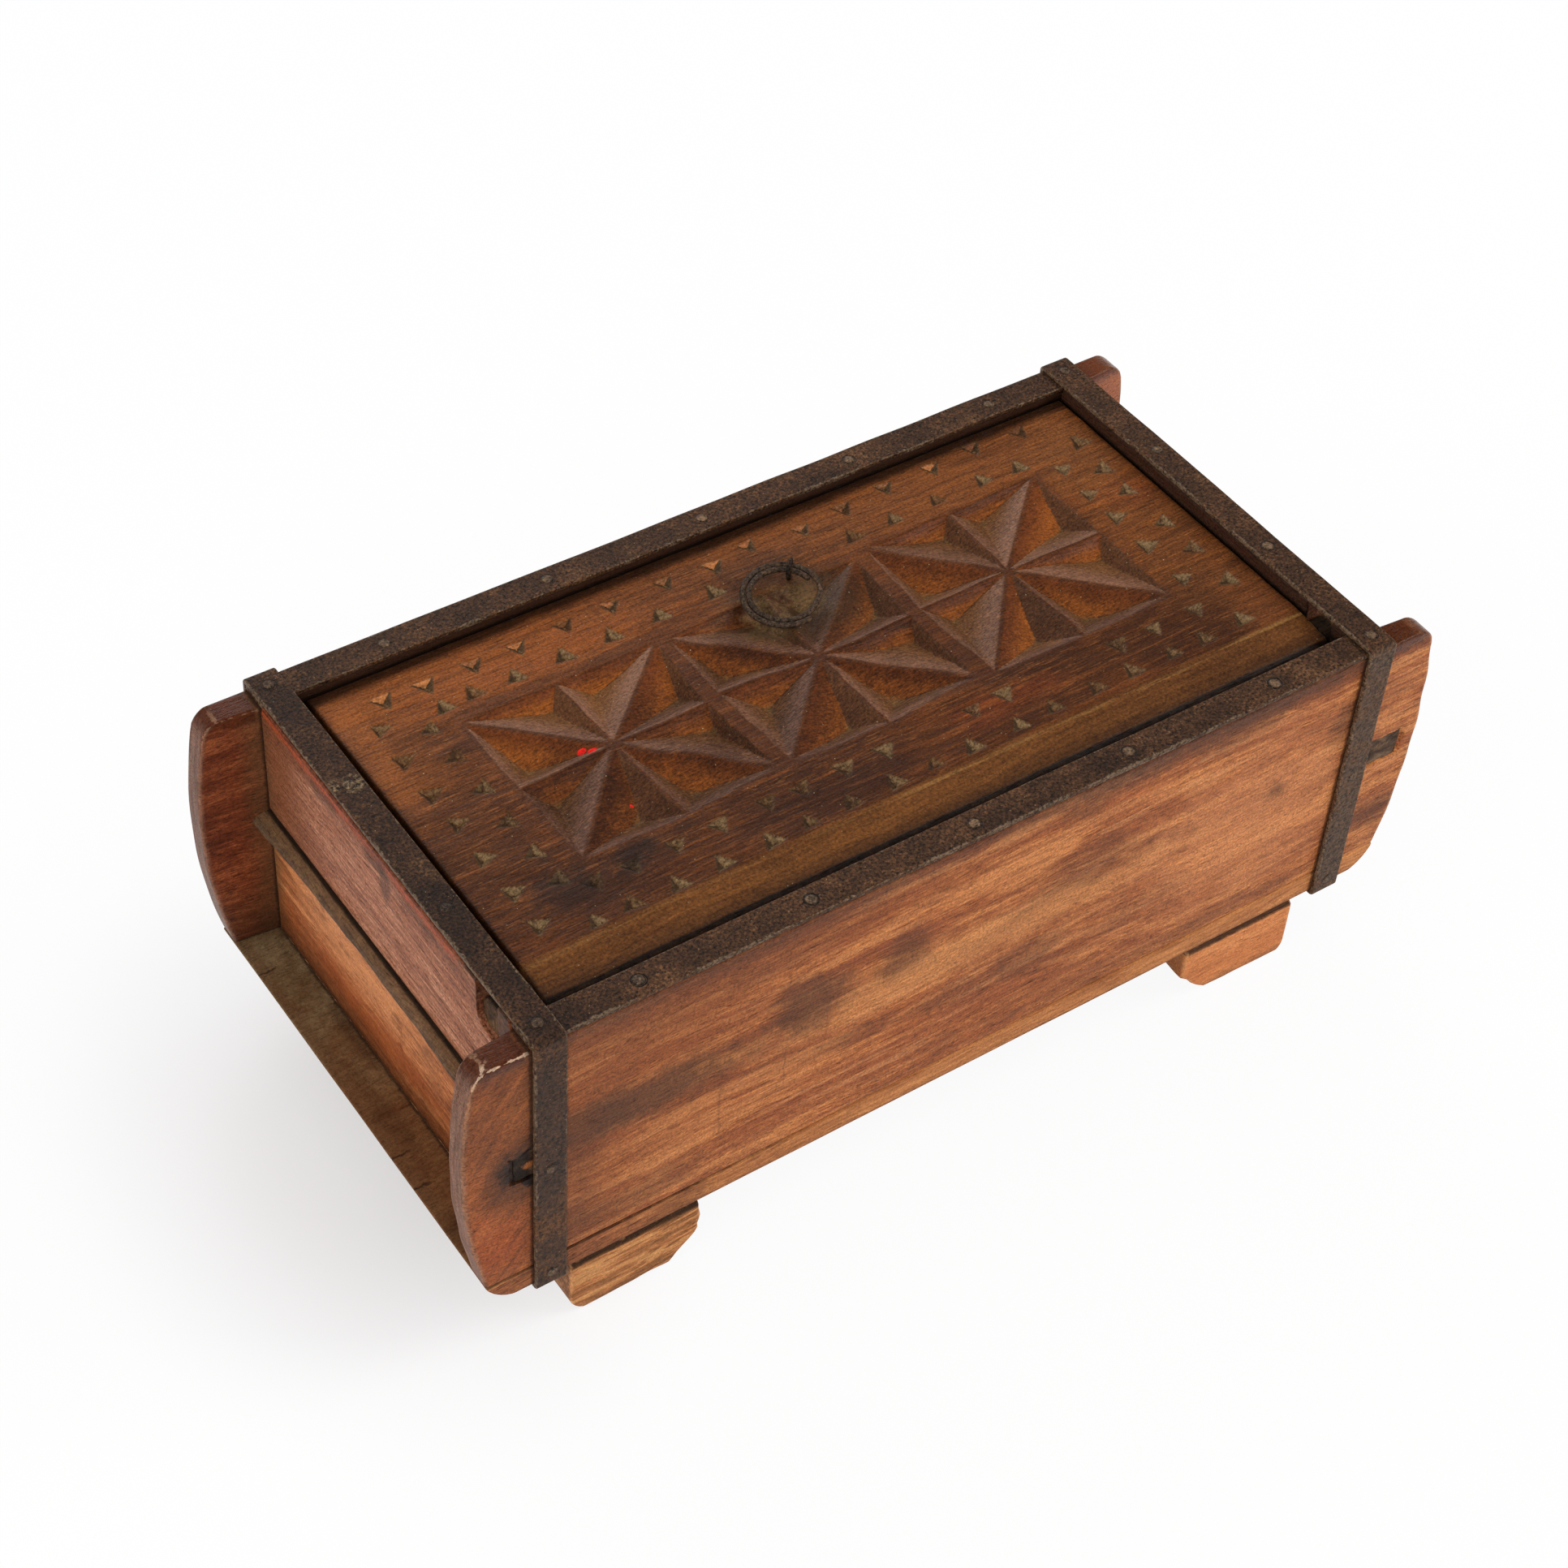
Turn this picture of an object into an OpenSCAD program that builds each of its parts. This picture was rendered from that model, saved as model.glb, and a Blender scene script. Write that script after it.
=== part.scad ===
// Wooden mould box on four feet, with iron straps and a carved lid on wooden pivots.
// Millimetres, +Z up. The origin is on the ground under the middle of the box.
// +X runs along the box, and -Y is the front, where the lid has its pivots.

/* [Case] */
// Inside length, between the end walls
inside_l = 258; // [200:1:320]
// Inside width, between the side boards
inside_w = 129; // [110:1:160]
// Thickness of the side boards
side_t = 9; // [8:0.5:14]
// Height of the side boards, above the bottom board
side_h = 85.6; // [80:0.2:120]
// Thickness of the end boards
end_t = 9.6; // [9:0.2:14]
// Height of the lower end boards
end_lower_h = 37.5; // [30:0.5:40]
// Thickness of the bottom board
bottom_t = 8; // [6:0.5:14]
// Round of the bottom board's two lower ends
bottom_round_r = 12; // [8:0.5:14]
// Depth of the housings in the side boards that hold the end boards
housing_d = 3; // [2:0.5:4]
// Clearance of a board in its housing
housing_fit = 0.1; // [0.05:0.05:0.3]
// Open seam between each rail and the board above it
seam = 0.3; // [0.2:0.1:0.6]

/* [Ears] */
// How far the side boards reach past the end boards, at their widest
ear_reach = 19.6; // [12:0.2:30]
// Radius of each ear's bulging edge
ear_bulge_r = 190; // [120:1:220]
// Height of the widest place, above the bottom board
ear_wide_h = 47; // [40:1:55]
// Round of the upper corner of the left ears
ear_round_left = 5; // [2:0.5:12]
// Round of the upper corner of the right ears, which are a little more worn
ear_round_right = 6; // [2:0.5:12]
// Thickness of an ear at its tip
ear_tip_t = 7; // [5:0.5:8]

/* [End rails] */
// Height of each rail
rail_h = 10.5; // [8:0.5:14]
// How far the left rail stands proud of its wall
rail_proud_left = 4.9; // [3:0.1:8]
// How far the right rail stands proud of its wall
rail_proud_right = 13.4; // [3:0.1:14]
// Depth of the rail's flat nose, over the slope of its underside
rail_nose = 1.5; // [1:0.5:3]
// Thickness of the tenons that pass through the side boards
tenon_t = 12; // [8:0.5:12]
// Clearance of a tenon in its mortise
tenon_fit = 0.1; // [0.05:0.05:0.3]

/* [Feet] */
// Height of the feet
foot_h = 22; // [16:0.5:30]
// Length of a foot, along the box
foot_l = 41; // [30:1:50]
// Width of a foot, across the box
foot_w = 28; // [20:1:35]
// From the left strap to the outer end of the left feet
foot_gap_left = 2; // [0.5:0.1:12]
// From the right strap to the outer end of the right feet
foot_gap_right = 6.1; // [0.5:0.1:12]
// Sloped cut at the inner end of each foot
foot_cut = 10; // [4:0.5:12]
// Bevel along the foot's upper outer edge
foot_bevel = 2.5; // [1:0.5:4]
// Round of the outer lower corner of each foot
foot_round_r = 4; // [2:0.5:6]

/* [Iron straps] */
// Width of the two straps across the box
cross_w = 9.3; // [6:0.1:9.4]
// Width of the two straps along the side boards
long_w = 9.5; // [6:0.1:11]
// Thickness of the strap iron
strap_t = 1.5; // [1:0.1:2.5]
// How far a cross strap stays inside the wall's outer face
cross_inset = 0.4; // [0:0.1:1]
// Length of the ends that fold under the bottom board
tab_l = 14; // [8:1:20]

/* [Lid] */
// Thickness of the lid
lid_t = 13; // [12:0.5:16]
// How far the lid's face lies below the top of the side boards
lid_sunk = 2.1; // [1:0.1:4]
// Gap at the lid's left end
lid_gap_left = 3.3; // [0.8:0.1:4]
// Gap at the lid's right end
lid_gap_right = 0.8; // [0.8:0.1:4]
// Gap along the lid's rear edge
lid_gap_rear = 0.8; // [0.6:0.1:2]
// From the front board's inner face to the pivot axis
pivot_in = 11.5; // [11:0.5:14]
// From the pivot axis to the lid's front edge
lid_nose = 6.8; // [6:0.1:7.5]
// Width of the planed slope along the lid's front edge
lid_slope_w = 13; // [6:0.5:16]
// Fall of that slope
lid_slope_h = 1.3; // [0.5:0.1:2]

/* [Carving] */
// Depth of the carved facets, at their deepest
carve_d = 4.2; // [3:0.1:5]
// Share of each facet's width that is left as a flat ridge
carve_ridge = 0.1; // [0.05:0.01:0.2]

/* [Lid pivots] */
// Radius of the pegs where they turn
peg_r = 5.25; // [4:0.05:6]
// Radius of the pegs inside the lid
peg_tail_r = 4; // [3:0.1:4.4]
// Length of the pegs inside the lid
peg_tail_l = 20; // [12:1:30]
// How far a peg's end stays inside the wall's outer face
peg_inset = 1.5; // [0.5:0.1:3]
// Running clearance of a peg in its notch
pivot_fit = 0.08; // [0.03:0.01:0.1]

/* [Lid rest] */
// Depth of the rest under the lid's rear edge
rest_d = 8; // [6:0.5:12]
// Height of the rest
rest_h = 8; // [6:0.5:12]
// From each end wall to the rest
rest_end_gap = 19; // [5:1:60]
// Gap between the closed lid and its rest
rest_gap = 0.3; // [0.2:0.1:0.6]

/* [Ring pull] */
// Radius of the wire of the ring and its staple
wire_r = 0.6; // [0.5:0.05:0.65]
// Outside radius of the ring
ring_r = 11.9; // [9:0.1:14]
// Distance between the ring's two turns of wire, middle to middle
ring_pitch = 1.8; // [1.8:0.1:2.2]
// Clearance round the two turns inside the staple's eye
eye_fit = 0.3; // [0.2:0.1:0.8]
// Height of the middle of the eye above the lid
eye_h = 3.4; // [3.2:0.1:5]
// From the middle of the box to the staple, along the box
staple_x = 12.5; // [-40:0.1:40]
// From the lid's rear edge to the staple
staple_in = 25.2; // [20:0.1:40]
// Direction in which the ring lies, seen from above
ring_turn = 226; // [200:1:250]
// Where the inner turn starts, counted round the ring from its far side
ring_from = 144; // [140:1:160]
// Where the wire starts to cross over to the outer turn
ring_cross = 434; // [425:1:440]
// Where the outer turn ends
ring_to = 770; // [740:1:780]
// Gap between the lying ring and the lid
ring_gap = 0.3; // [0.2:0.1:0.6]
// Clearance of the staple's legs in their hole
leg_fit = 0.2; // [0.1:0.05:0.4]
// Length of the staple's legs under the lid
clinch_l = 7; // [4:0.5:10]

/* [Nails] */
// Radius of the nails' shanks
nail_r = 0.9; // [0.6:0.1:1.2]
// Radius of the nails' heads
head_r = 2.4; // [1.8:0.1:2.8]
// Thickness of the nails' heads
head_t = 1.1; // [0.8:0.1:1.3]
// How far the strap nails' heads stand out of the straps
head_proud = 0.25; // [0.1:0.05:0.5]
// Clearance of the nails in their holes
nail_fit = 0.05; // [0.02:0.01:0.1]
// Length of the strap nails
strap_nail_l = 12; // [8:0.5:14]
// From each end of the lid rest to its first nail
rest_nail_in = 18; // [8:1:40]
// Length of the nails in the side boards
case_nail_l = 13; // [10:0.5:14]
// Length of the nails in the bottom board
bottom_nail_l = 24; // [16:0.5:30]
// How deep the heads of the feet's nails are sunk
foot_nail_sunk = 1.5; // [0.5:0.1:3]
// Distance between the nails in each foot
foot_nail_gap = 16; // [10:1:20]
// From each end wall to the first nail of a long strap
long_nail_in = 27; // [10:1:40]
// How far the two rows of those nails are out of step
long_nail_shift = 3; // [0:0.5:6]
// Height of the middle nails of the cross straps, above the bottom board
cross_nail_h = 39; // [38.5:0.5:47]
// From the middle of the box to the inner nails on top of the cross straps
cross_nail_y = 25; // [15:1:40]

/* [Hidden] */
$fn = 48;
past = 1;
carve_past = 0.2;
long_nail_count = 5;
case_nail_step = 10;

// The three carved fields, from the lid's middle: a field's middle, the eight points round it
// from the middle of its left side and clockwise, and the deepest points between those eight.
// They belong to a lid of this length and width, and follow the lid when it changes.
carved_lid_l = 253.9;
carved_lid_w = 123.5;
carve_fields = [
    [
        [-66, 5.2],
        [[-96.2, 3.4], [-96.2, 33.3], [-67, 33], [-35.2, 33],
         [-36.6, 5.8], [-33.2, -24], [-63.2, -27], [-94.6, -26.4]],
        [[-88.6, 10.4], [-71.6, 27.2], [-58, 27.5], [-39.8, 13.8],
         [-38.2, -0.9], [-55.9, -18.5], [-73.2, -19.3], [-88.5, -3.3]]
    ],
    [
        [-0.1, 5.2],
        [[-31.8, 7.6], [-31.8, 32.6], [0.8, 34.6], [32.2, 33.6],
         [30.8, 5.8], [32.2, -23.4], [1.2, -26.2], [-29.8, -25]],
        [[-24.1, 14.3], [-5.1, 28], [8.6, 27], [25.4, 13.8],
         [28, -0.9], [9.6, -17.2], [-7.2, -19.6], [-20.9, -1.4]]
    ],
    [
        [66, 7.2],
        [[34.8, 6.8], [36.2, 35.6], [66, 36], [97.8, 37],
         [98.8, 6.6], [99.2, -25.4], [68, -25.8], [37.8, -25]],
        [[41.9, 13.2], [61.1, 30.6], [75.9, 31.6], [93.3, 16.4],
         [94.8, 0.4], [74.6, -17.9], [57.7, -17.9], [43.5, 1.1]]
    ]
];

in_x = inside_l / 2;
in_y = inside_w / 2;
out_x = in_x + end_t;
out_y = in_y + side_t;
floor_z = foot_h + bottom_t;
top_z = floor_z + side_h;
long_top_z = top_z + strap_t;
rail_z = floor_z + end_lower_h;
rail_top_z = rail_z + rail_h;
cross_out_x = out_x - cross_inset;
cross_in_x = cross_out_x - cross_w;
cross_mid_x = cross_out_x - cross_w / 2;
foot_end_left = cross_in_x - foot_gap_left;
foot_end_right = cross_in_x - foot_gap_right;
rest_l = inside_l - 2 * rest_end_gap;
long_nail_pitch = (inside_l - 2 * long_nail_in) / (long_nail_count - 1);
long_mid_y = out_y - long_w / 2;
head_sunk = head_t - head_proud;

bulge_x = out_x + ear_reach - ear_bulge_r;
bulge_z = floor_z + ear_wide_h;

lid_top_z = top_z - lid_sunk;
lid_bottom_z = lid_top_z - lid_t;
rest_z = lid_bottom_z - rest_gap - rest_h;
lid_left_x = -in_x + lid_gap_left;
lid_right_x = in_x - lid_gap_right;
lid_rear_y = in_y - lid_gap_rear;
pivot_y = -in_y + pivot_in;
pivot_z = lid_top_z - lid_t / 2;
lid_front_y = pivot_y - lid_nose;
peg_end_x = out_x - peg_inset;

// The ring is one wire wound twice. The eye goes round the middle of its two turns.
turn_r = ring_r - wire_r - ring_pitch / 2;
eye_in_r = ring_pitch / 2 + wire_r + eye_fit;
eye_r = eye_in_r + wire_r;
staple_y = lid_rear_y - staple_in;
eye_z = lid_top_z + eye_h;
ring_tilt = asin((eye_h - wire_r - ring_gap) / (2 * turn_r + ring_pitch / 2));
leg_gap = wire_r + nail_fit;
staple_hole_r = leg_gap + wire_r + leg_fit;

// The ring's wire as points, 24 to a turn, and its least gap to itself
ring_steps = round((ring_to - ring_from) / 15);
ring_path = [
    for (i = [0:ring_steps])
        let (a = ring_from + (ring_to - ring_from) * i / ring_steps)
        ring_wire_r(a) * [cos(a), sin(a)]
];
ring_own_gap = min([
    for (i = [0:ring_steps - 12], j = [i + 12:ring_steps])
        norm(ring_path[j] - ring_path[i]) - 2 * wire_r
]);
echo(ring_least_gap_to_itself_mm = ring_own_gap);

function arc(cx, cy, r, from, to, count) = [
    for (i = [0:count])
        let (a = from + (to - from) * i / count)
        [cx + r * cos(a), cy + r * sin(a)]
];

// The edge of one ear, from the bottom board up to the top: the bulge and the upper corner.
function ear_edge(r) =
    let (lift = top_z - r - bulge_z)
    let (corner_x = bulge_x + sqrt(pow(ear_bulge_r - r, 2) - pow(lift, 2)))
    let (meet = asin(lift / (ear_bulge_r - r)))
    let (foot = -asin(ear_wide_h / ear_bulge_r))
    concat(
        arc(bulge_x, bulge_z, ear_bulge_r, foot, meet, 16),
        arc(corner_x, top_z - r, r, meet, 90, 8)
    );

// How far the ring's wire is from the ring's middle: the inner turn, then the outer one
function ring_wire_r(a) =
    let (t = min(1, max(0, (a - ring_cross) / (ring_from + 360 - 3 - ring_cross))))
    turn_r + ring_pitch * (t * t * (3 - 2 * t) - 0.5);

function flipped(points) = [
    for (i = [len(points) - 1:-1:0]) [-points[i][0], points[i][1]]
];

// Places its child at the right end and, mirrored, at the left end
module both_ends() {
    children();
    mirror([1, 0, 0])
        children();
}

// Places its child at the rear and, mirrored, at the front
module both_sides() {
    children();
    mirror([0, 1, 0])
        children();
}

// Draws a profile given as [y, z] and runs it along +X
module along_x(length) {
    rotate([90, 0, 90])
        linear_extrude(length)
            children();
}

// Draws a profile given as [x, z] and runs it along -Y
module along_y(length) {
    rotate([90, 0, 0])
        linear_extrude(length)
            children();
}

// One nail with its point down and the top of its head at z = 0. Spare and mouth widen it
// into its hole, and mouth opens the hole above a head that is sunk in the wood.
module nail(length, spare = 0, mouth = 0) {
    translate([0, 0, -head_t])
        cylinder(h = head_t + spare + mouth, r = head_r + spare);
    translate([0, 0, -length - spare])
        cylinder(h = length + spare, r = nail_r + spare);
}

// The nails that hold the straps: spare widens them into their holes
module strap_nail_set(spare = 0) {
    both_ends()
        both_sides()
            cross_nail_quarter(spare);
    for (i = [0:long_nail_count - 1], side = [-1, 1])
        translate([
            (i - (long_nail_count - 1) / 2) * long_nail_pitch + side * long_nail_shift,
            side * long_mid_y,
            long_top_z + head_proud
        ])
            nail(strap_nail_l, spare);
}

// A quarter of the cross straps' nails: two on top and two on the rear face
module cross_nail_quarter(spare) {
    for (y = [cross_nail_y, long_mid_y])
        translate([cross_mid_x, y, long_top_z + strap_t + head_proud])
            nail(strap_nail_l, spare);
    for (z = [foot_h + bottom_t / 2, floor_z + cross_nail_h])
        translate([cross_mid_x, out_y + strap_t + head_proud, z])
            rotate([-90, 0, 0])
                nail(strap_nail_l, spare);
}

// The nails through the side boards into the ends of the end boards
module case_nail_set(spare = 0) {
    both_ends()
        both_sides()
            for (z = [floor_z + end_lower_h / 2, rail_top_z + case_nail_step])
                translate([in_x + end_t / 2, out_y, z])
                    rotate([-90, 0, 0])
                        nail(case_nail_l, spare);
}

// The nails up through the bottom board, into the side boards and the lower end boards
module bottom_nail_set(spare = 0) {
    both_ends() {
        for (y = [-in_y / 2, 0, in_y / 2])
            translate([in_x + end_t / 2, y, foot_h])
                rotate([180, 0, 0])
                    nail(bottom_nail_l, spare);
        both_sides()
            for (x = [inside_l / 16, inside_l * 3 / 16])
                translate([x, in_y + side_t / 2, foot_h])
                    rotate([180, 0, 0])
                        nail(bottom_nail_l, spare);
    }
}

// The nails up through one foot into the bottom board
module foot_nail_pair(x_out, side, spare = 0) {
    for (i = [0, 1])
        translate([
            sign(x_out) * (abs(x_out) - foot_l / 2 + (i - 0.5) * foot_nail_gap),
            side * (out_y - foot_w / 2),
            foot_nail_sunk
        ])
            rotate([180, 0, 0])
                nail(foot_h + bottom_t / 2 - foot_nail_sunk, spare, spare > 0 ? foot_h / 2 : 0);
}

// The nails through the lid rest into the rear board
module rest_nail_set(spare = 0) {
    for (i = [-1:1])
        translate([i * (rest_l / 2 - rest_nail_in), in_y - rest_d, rest_z + rest_h / 2])
            rotate([90, 0, 0])
                nail(rest_d + side_t / 2, spare);
}

// The front side board: its ears, the housings for the end boards and the rails' mortises
module side_blank() {
    edge_right = ear_edge(ear_round_right);
    edge_left = ear_edge(ear_round_left);
    taper = (side_t - ear_tip_t) / ear_reach;
    difference() {
        translate([0, -in_y, 0])
            along_y(side_t)
                polygon(concat(edge_right, flipped(edge_left)));
        both_ends() {
            translate([in_x - housing_fit, -in_y - housing_d, floor_z - past])
                cube([end_t + 2 * housing_fit, housing_d + past, side_h + 2 * past]);
            translate([0, 0, floor_z - past])
                linear_extrude(side_h + 2 * past)
                    polygon([
                        [out_x, -in_y],
                        [out_x, -in_y + past],
                        [out_x + ear_reach + past, -in_y + past],
                        [out_x + ear_reach + past, -in_y - taper * (ear_reach + past)]
                    ]);
        }
        mortise(1, rail_proud_right);
        mortise(-1, rail_proud_left);
    }
}

// A mortise through the front side board for one rail's tenon
module mortise(end, proud) {
    scale_x = end > 0 ? 0 : 1;
    mirror([scale_x, 0, 0])
        translate([out_x + proud - tenon_t - tenon_fit, -out_y - past, rail_z - tenon_fit])
            cube([tenon_t + 2 * tenon_fit, side_t + 2 * past, rail_h + 2 * tenon_fit]);
}

module side_board_front() {
    color([0.56, 0.32, 0.19])
        difference() {
            side_blank();
            strap_nail_set(nail_fit);
            case_nail_set(nail_fit);
            bottom_nail_set(nail_fit);
        }
}

module side_board_rear() {
    color([0.5, 0.27, 0.16])
        difference() {
            mirror([0, 1, 0])
                side_blank();
            strap_nail_set(nail_fit);
            case_nail_set(nail_fit);
            bottom_nail_set(nail_fit);
            rest_nail_set(nail_fit);
        }
}

// The bottom board carries the side boards and has rounded lower ends
module bottom_board() {
    end_x = out_x + ear_reach - ear_bulge_r + sqrt(pow(ear_bulge_r, 2) - pow(ear_wide_h, 2));
    rise = asin((bottom_round_r - bottom_t) / bottom_round_r);
    round_x = end_x - bottom_round_r * cos(rise);
    right = arc(round_x, foot_h + bottom_round_r, bottom_round_r, -90, -rise, 10);
    color([0.66, 0.42, 0.25])
        difference() {
            translate([0, out_y, 0])
                along_y(2 * out_y)
                    polygon(concat(right, flipped(right)));
            strap_nail_set(nail_fit);
            bottom_nail_set(nail_fit);
            all_foot_nails(nail_fit);
        }
}

// The upper board of the right end, with its tongue under the strap and the pivot's notch
module end_board_upper() {
    notch_r = peg_r + pivot_fit;
    board_z = rail_top_z + seam;
    half_w = in_y + housing_d - housing_fit;
    tongue_w = out_y - long_w - housing_fit;
    difference() {
        translate([in_x, -half_w, board_z])
            cube([end_t, 2 * half_w, top_z - board_z]);
        end_notch(notch_r);
        strap_nail_set(nail_fit);
        case_nail_set(nail_fit);
    }
    difference() {
        translate([in_x, -tongue_w, top_z])
            cube([end_t, 2 * tongue_w, strap_t]);
        end_notch(notch_r);
        strap_nail_set(nail_fit);
    }
}

// The notch that a pivot peg turns in, open at the top
module end_notch(notch_r) {
    translate([in_x - past, pivot_y, pivot_z])
        rotate([0, 90, 0])
            cylinder(h = end_t + 2 * past, r = notch_r);
    translate([in_x - past, pivot_y - notch_r, pivot_z])
        cube([end_t + 2 * past, 2 * notch_r, long_top_z - pivot_z + past]);
}

module end_board_upper_left() {
    color([0.55, 0.35, 0.27])
        mirror([1, 0, 0])
            end_board_upper();
}

module end_board_upper_right() {
    color([0.55, 0.35, 0.27])
        end_board_upper();
}

// The lower board of the right end
module end_board_lower() {
    half_w = in_y + housing_d - housing_fit;
    difference() {
        translate([in_x, -half_w, floor_z])
            cube([end_t, 2 * half_w, end_lower_h]);
        case_nail_set(nail_fit);
        bottom_nail_set(nail_fit);
    }
}

module end_board_lower_left() {
    color([0.65, 0.41, 0.26])
        mirror([1, 0, 0])
            end_board_lower();
}

module end_board_lower_right() {
    color([0.65, 0.41, 0.26])
        end_board_lower();
}

// One right end rail: a ledge between the boards, with a tenon through each side board
module end_rail(proud) {
    face_x = out_x + proud;
    body_w = 2 * in_y - 2 * housing_fit;
    difference() {
        union() {
            translate([0, body_w / 2, 0])
                along_y(body_w)
                    polygon([
                        [in_x, rail_z],
                        [out_x, rail_z],
                        [face_x, rail_top_z - rail_nose],
                        [face_x, rail_top_z],
                        [in_x, rail_top_z]
                    ]);
            both_sides()
                translate([face_x - tenon_t, in_y - housing_fit, rail_z])
                    cube([tenon_t, side_t, rail_h]);
        }
        strap_nail_set(nail_fit);
    }
}

module end_rail_left() {
    color([0.33, 0.26, 0.2])
        mirror([1, 0, 0])
            end_rail(rail_proud_left);
}

module end_rail_right() {
    color([0.33, 0.26, 0.2])
        end_rail(rail_proud_right);
}

// The rest inside the rear board that the closed lid lies on
module lid_rest() {
    color([0.6, 0.4, 0.25])
        difference() {
            translate([-rest_l / 2, in_y - rest_d, rest_z])
                cube([rest_l, rest_d, rest_h]);
            rest_nail_set(nail_fit);
        }
}

// One foot: x_out is its outer end and side is -1 at the front and 1 at the rear
module foot(x_out, side) {
    end = abs(x_out);
    profile = concat(
        [
            [end, foot_h],
            [end - foot_l, foot_h],
            [end - foot_l, foot_cut],
            [end - foot_l + foot_cut, 0]
        ],
        arc(end - foot_round_r, foot_round_r, foot_round_r, -90, 0, 6)
    );
    color([0.72, 0.5, 0.3])
        difference() {
            mirror([x_out < 0 ? 1 : 0, 0, 0])
                mirror([0, side < 0 ? 1 : 0, 0])
                    intersection() {
                        translate([0, out_y, 0])
                            along_y(foot_w)
                                polygon(profile);
                        along_x(end + past)
                            polygon([
                                [out_y - foot_w, 0],
                                [out_y, 0],
                                [out_y, foot_h - foot_bevel],
                                [out_y - foot_bevel, foot_h],
                                [out_y - foot_w, foot_h]
                            ]);
                    }
            foot_nail_pair(x_out, side, nail_fit);
        }
}

module foot_front_left() {
    foot(-foot_end_left, -1);
}

module foot_front_right() {
    foot(foot_end_right, -1);
}

module foot_rear_left() {
    foot(-foot_end_left, 1);
}

module foot_rear_right() {
    foot(foot_end_right, 1);
}

// The right cross strap: over the top, down both faces and folded under the bottom board
module strap_cross() {
    tall = long_top_z + strap_t - foot_h + strap_t;
    color([0.25, 0.23, 0.21])
        difference() {
            translate([cross_in_x, 0, 0])
                along_x(cross_w)
                    difference() {
                        translate([0, foot_h - strap_t])
                            rounded_block(2 * (out_y + strap_t), tall, strap_t);
                        translate([-out_y, foot_h])
                            square([2 * out_y, long_top_z - foot_h]);
                        translate([-out_y + tab_l, foot_h - strap_t - past])
                            square([2 * (out_y - tab_l), strap_t + 2 * past]);
                    }
            strap_nail_set(nail_fit);
        }
}

// A rectangle on the Y axis with round corners, standing on its lower edge
module rounded_block(wide, tall, r) {
    translate([-wide / 2 + r, 0])
        square([wide - 2 * r, tall]);
    translate([-wide / 2, r])
        square([wide, tall - 2 * r]);
    for (x = [-wide / 2 + r, wide / 2 - r], y = [r, tall - r])
        translate([x, y])
            circle(r);
}

module strap_cross_left() {
    mirror([1, 0, 0])
        strap_cross();
}

module strap_cross_right() {
    strap_cross();
}

// One strap along the top of a side board, under the cross straps
module strap_long(side) {
    color([0.27, 0.24, 0.21])
        difference() {
            translate([-cross_out_x, side > 0 ? out_y - long_w : -out_y, top_z])
                cube([2 * cross_out_x, long_w, strap_t]);
            strap_nail_set(nail_fit);
        }
}

module strap_long_front() {
    strap_long(-1);
}

module strap_long_rear() {
    strap_long(1);
}

module strap_nails() {
    color([0.22, 0.2, 0.19])
        strap_nail_set();
}

module case_nails() {
    color([0.3, 0.28, 0.26])
        case_nail_set();
}

module bottom_nails() {
    color([0.3, 0.28, 0.26])
        bottom_nail_set();
}

// The nails of the four feet
module all_foot_nails(spare = 0) {
    for (x_out = [-foot_end_left, foot_end_right], side = [-1, 1])
        foot_nail_pair(x_out, side, spare);
}

module foot_nails() {
    color([0.3, 0.28, 0.26])
        all_foot_nails();
}

module rest_nails() {
    color([0.3, 0.28, 0.26])
        rest_nail_set();
}

// The lid, with its planed front edge, its carving, the pegs' bores and the staple's hole
module lid_board() {
    color([0.36, 0.2, 0.12])
        difference() {
            translate([lid_left_x, 0, 0])
                along_x(lid_right_x - lid_left_x)
                    polygon([
                        [lid_rear_y, lid_bottom_z],
                        [lid_rear_y, lid_top_z],
                        [lid_front_y + lid_slope_w, lid_top_z],
                        [lid_front_y + 2, lid_top_z - lid_slope_h],
                        [lid_front_y, lid_top_z - lid_slope_h - 2],
                        [lid_front_y, lid_bottom_z + 2],
                        [lid_front_y + 2, lid_bottom_z]
                    ]);
            for (x = [lid_left_x - past, lid_right_x - peg_tail_l])
                translate([x, pivot_y, pivot_z])
                    rotate([0, 90, 0])
                        cylinder(h = peg_tail_l + past, r = peg_tail_r + nail_fit);
            translate([staple_x, staple_y, lid_bottom_z - past])
                cylinder(h = lid_t + 2 * past, r = staple_hole_r);
            carving();
        }
}

// The carving: three fields, each of eight three-sided cuts round its middle
module carving() {
    wide = (lid_right_x - lid_left_x) / carved_lid_l;
    deep = (lid_rear_y - lid_front_y) / carved_lid_w;
    mid = [(lid_left_x + lid_right_x) / 2, (lid_front_y + lid_rear_y) / 2];
    for (field = carve_fields, i = [0:7])
        let (corners = [field[0], field[1][i], field[1][(i + 1) % 8]])
        facet_cut(
            [for (c = corners) [mid[0] + wide * c[0], mid[1] + deep * c[1]]],
            [mid[0] + wide * field[2][i][0], mid[1] + deep * field[2][i][1]]
        );
}

// One three-sided cut, from just above the lid's face down to its deepest point. The cuts
// stay clear of each other, by the ridges between them.
module facet_cut(corners, low) {
    grow = (1 - carve_ridge) * (carve_d + carve_past) / carve_d;
    rim = [
        for (c = corners)
            [low[0] + grow * (c[0] - low[0]), low[1] + grow * (c[1] - low[1]), lid_top_z + carve_past]
    ];
    polyhedron(
        concat(rim, [[low[0], low[1], lid_top_z - carve_d]]),
        [[0, 1, 2], [0, 3, 1], [1, 3, 2], [2, 3, 0]]
    );
}

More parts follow.
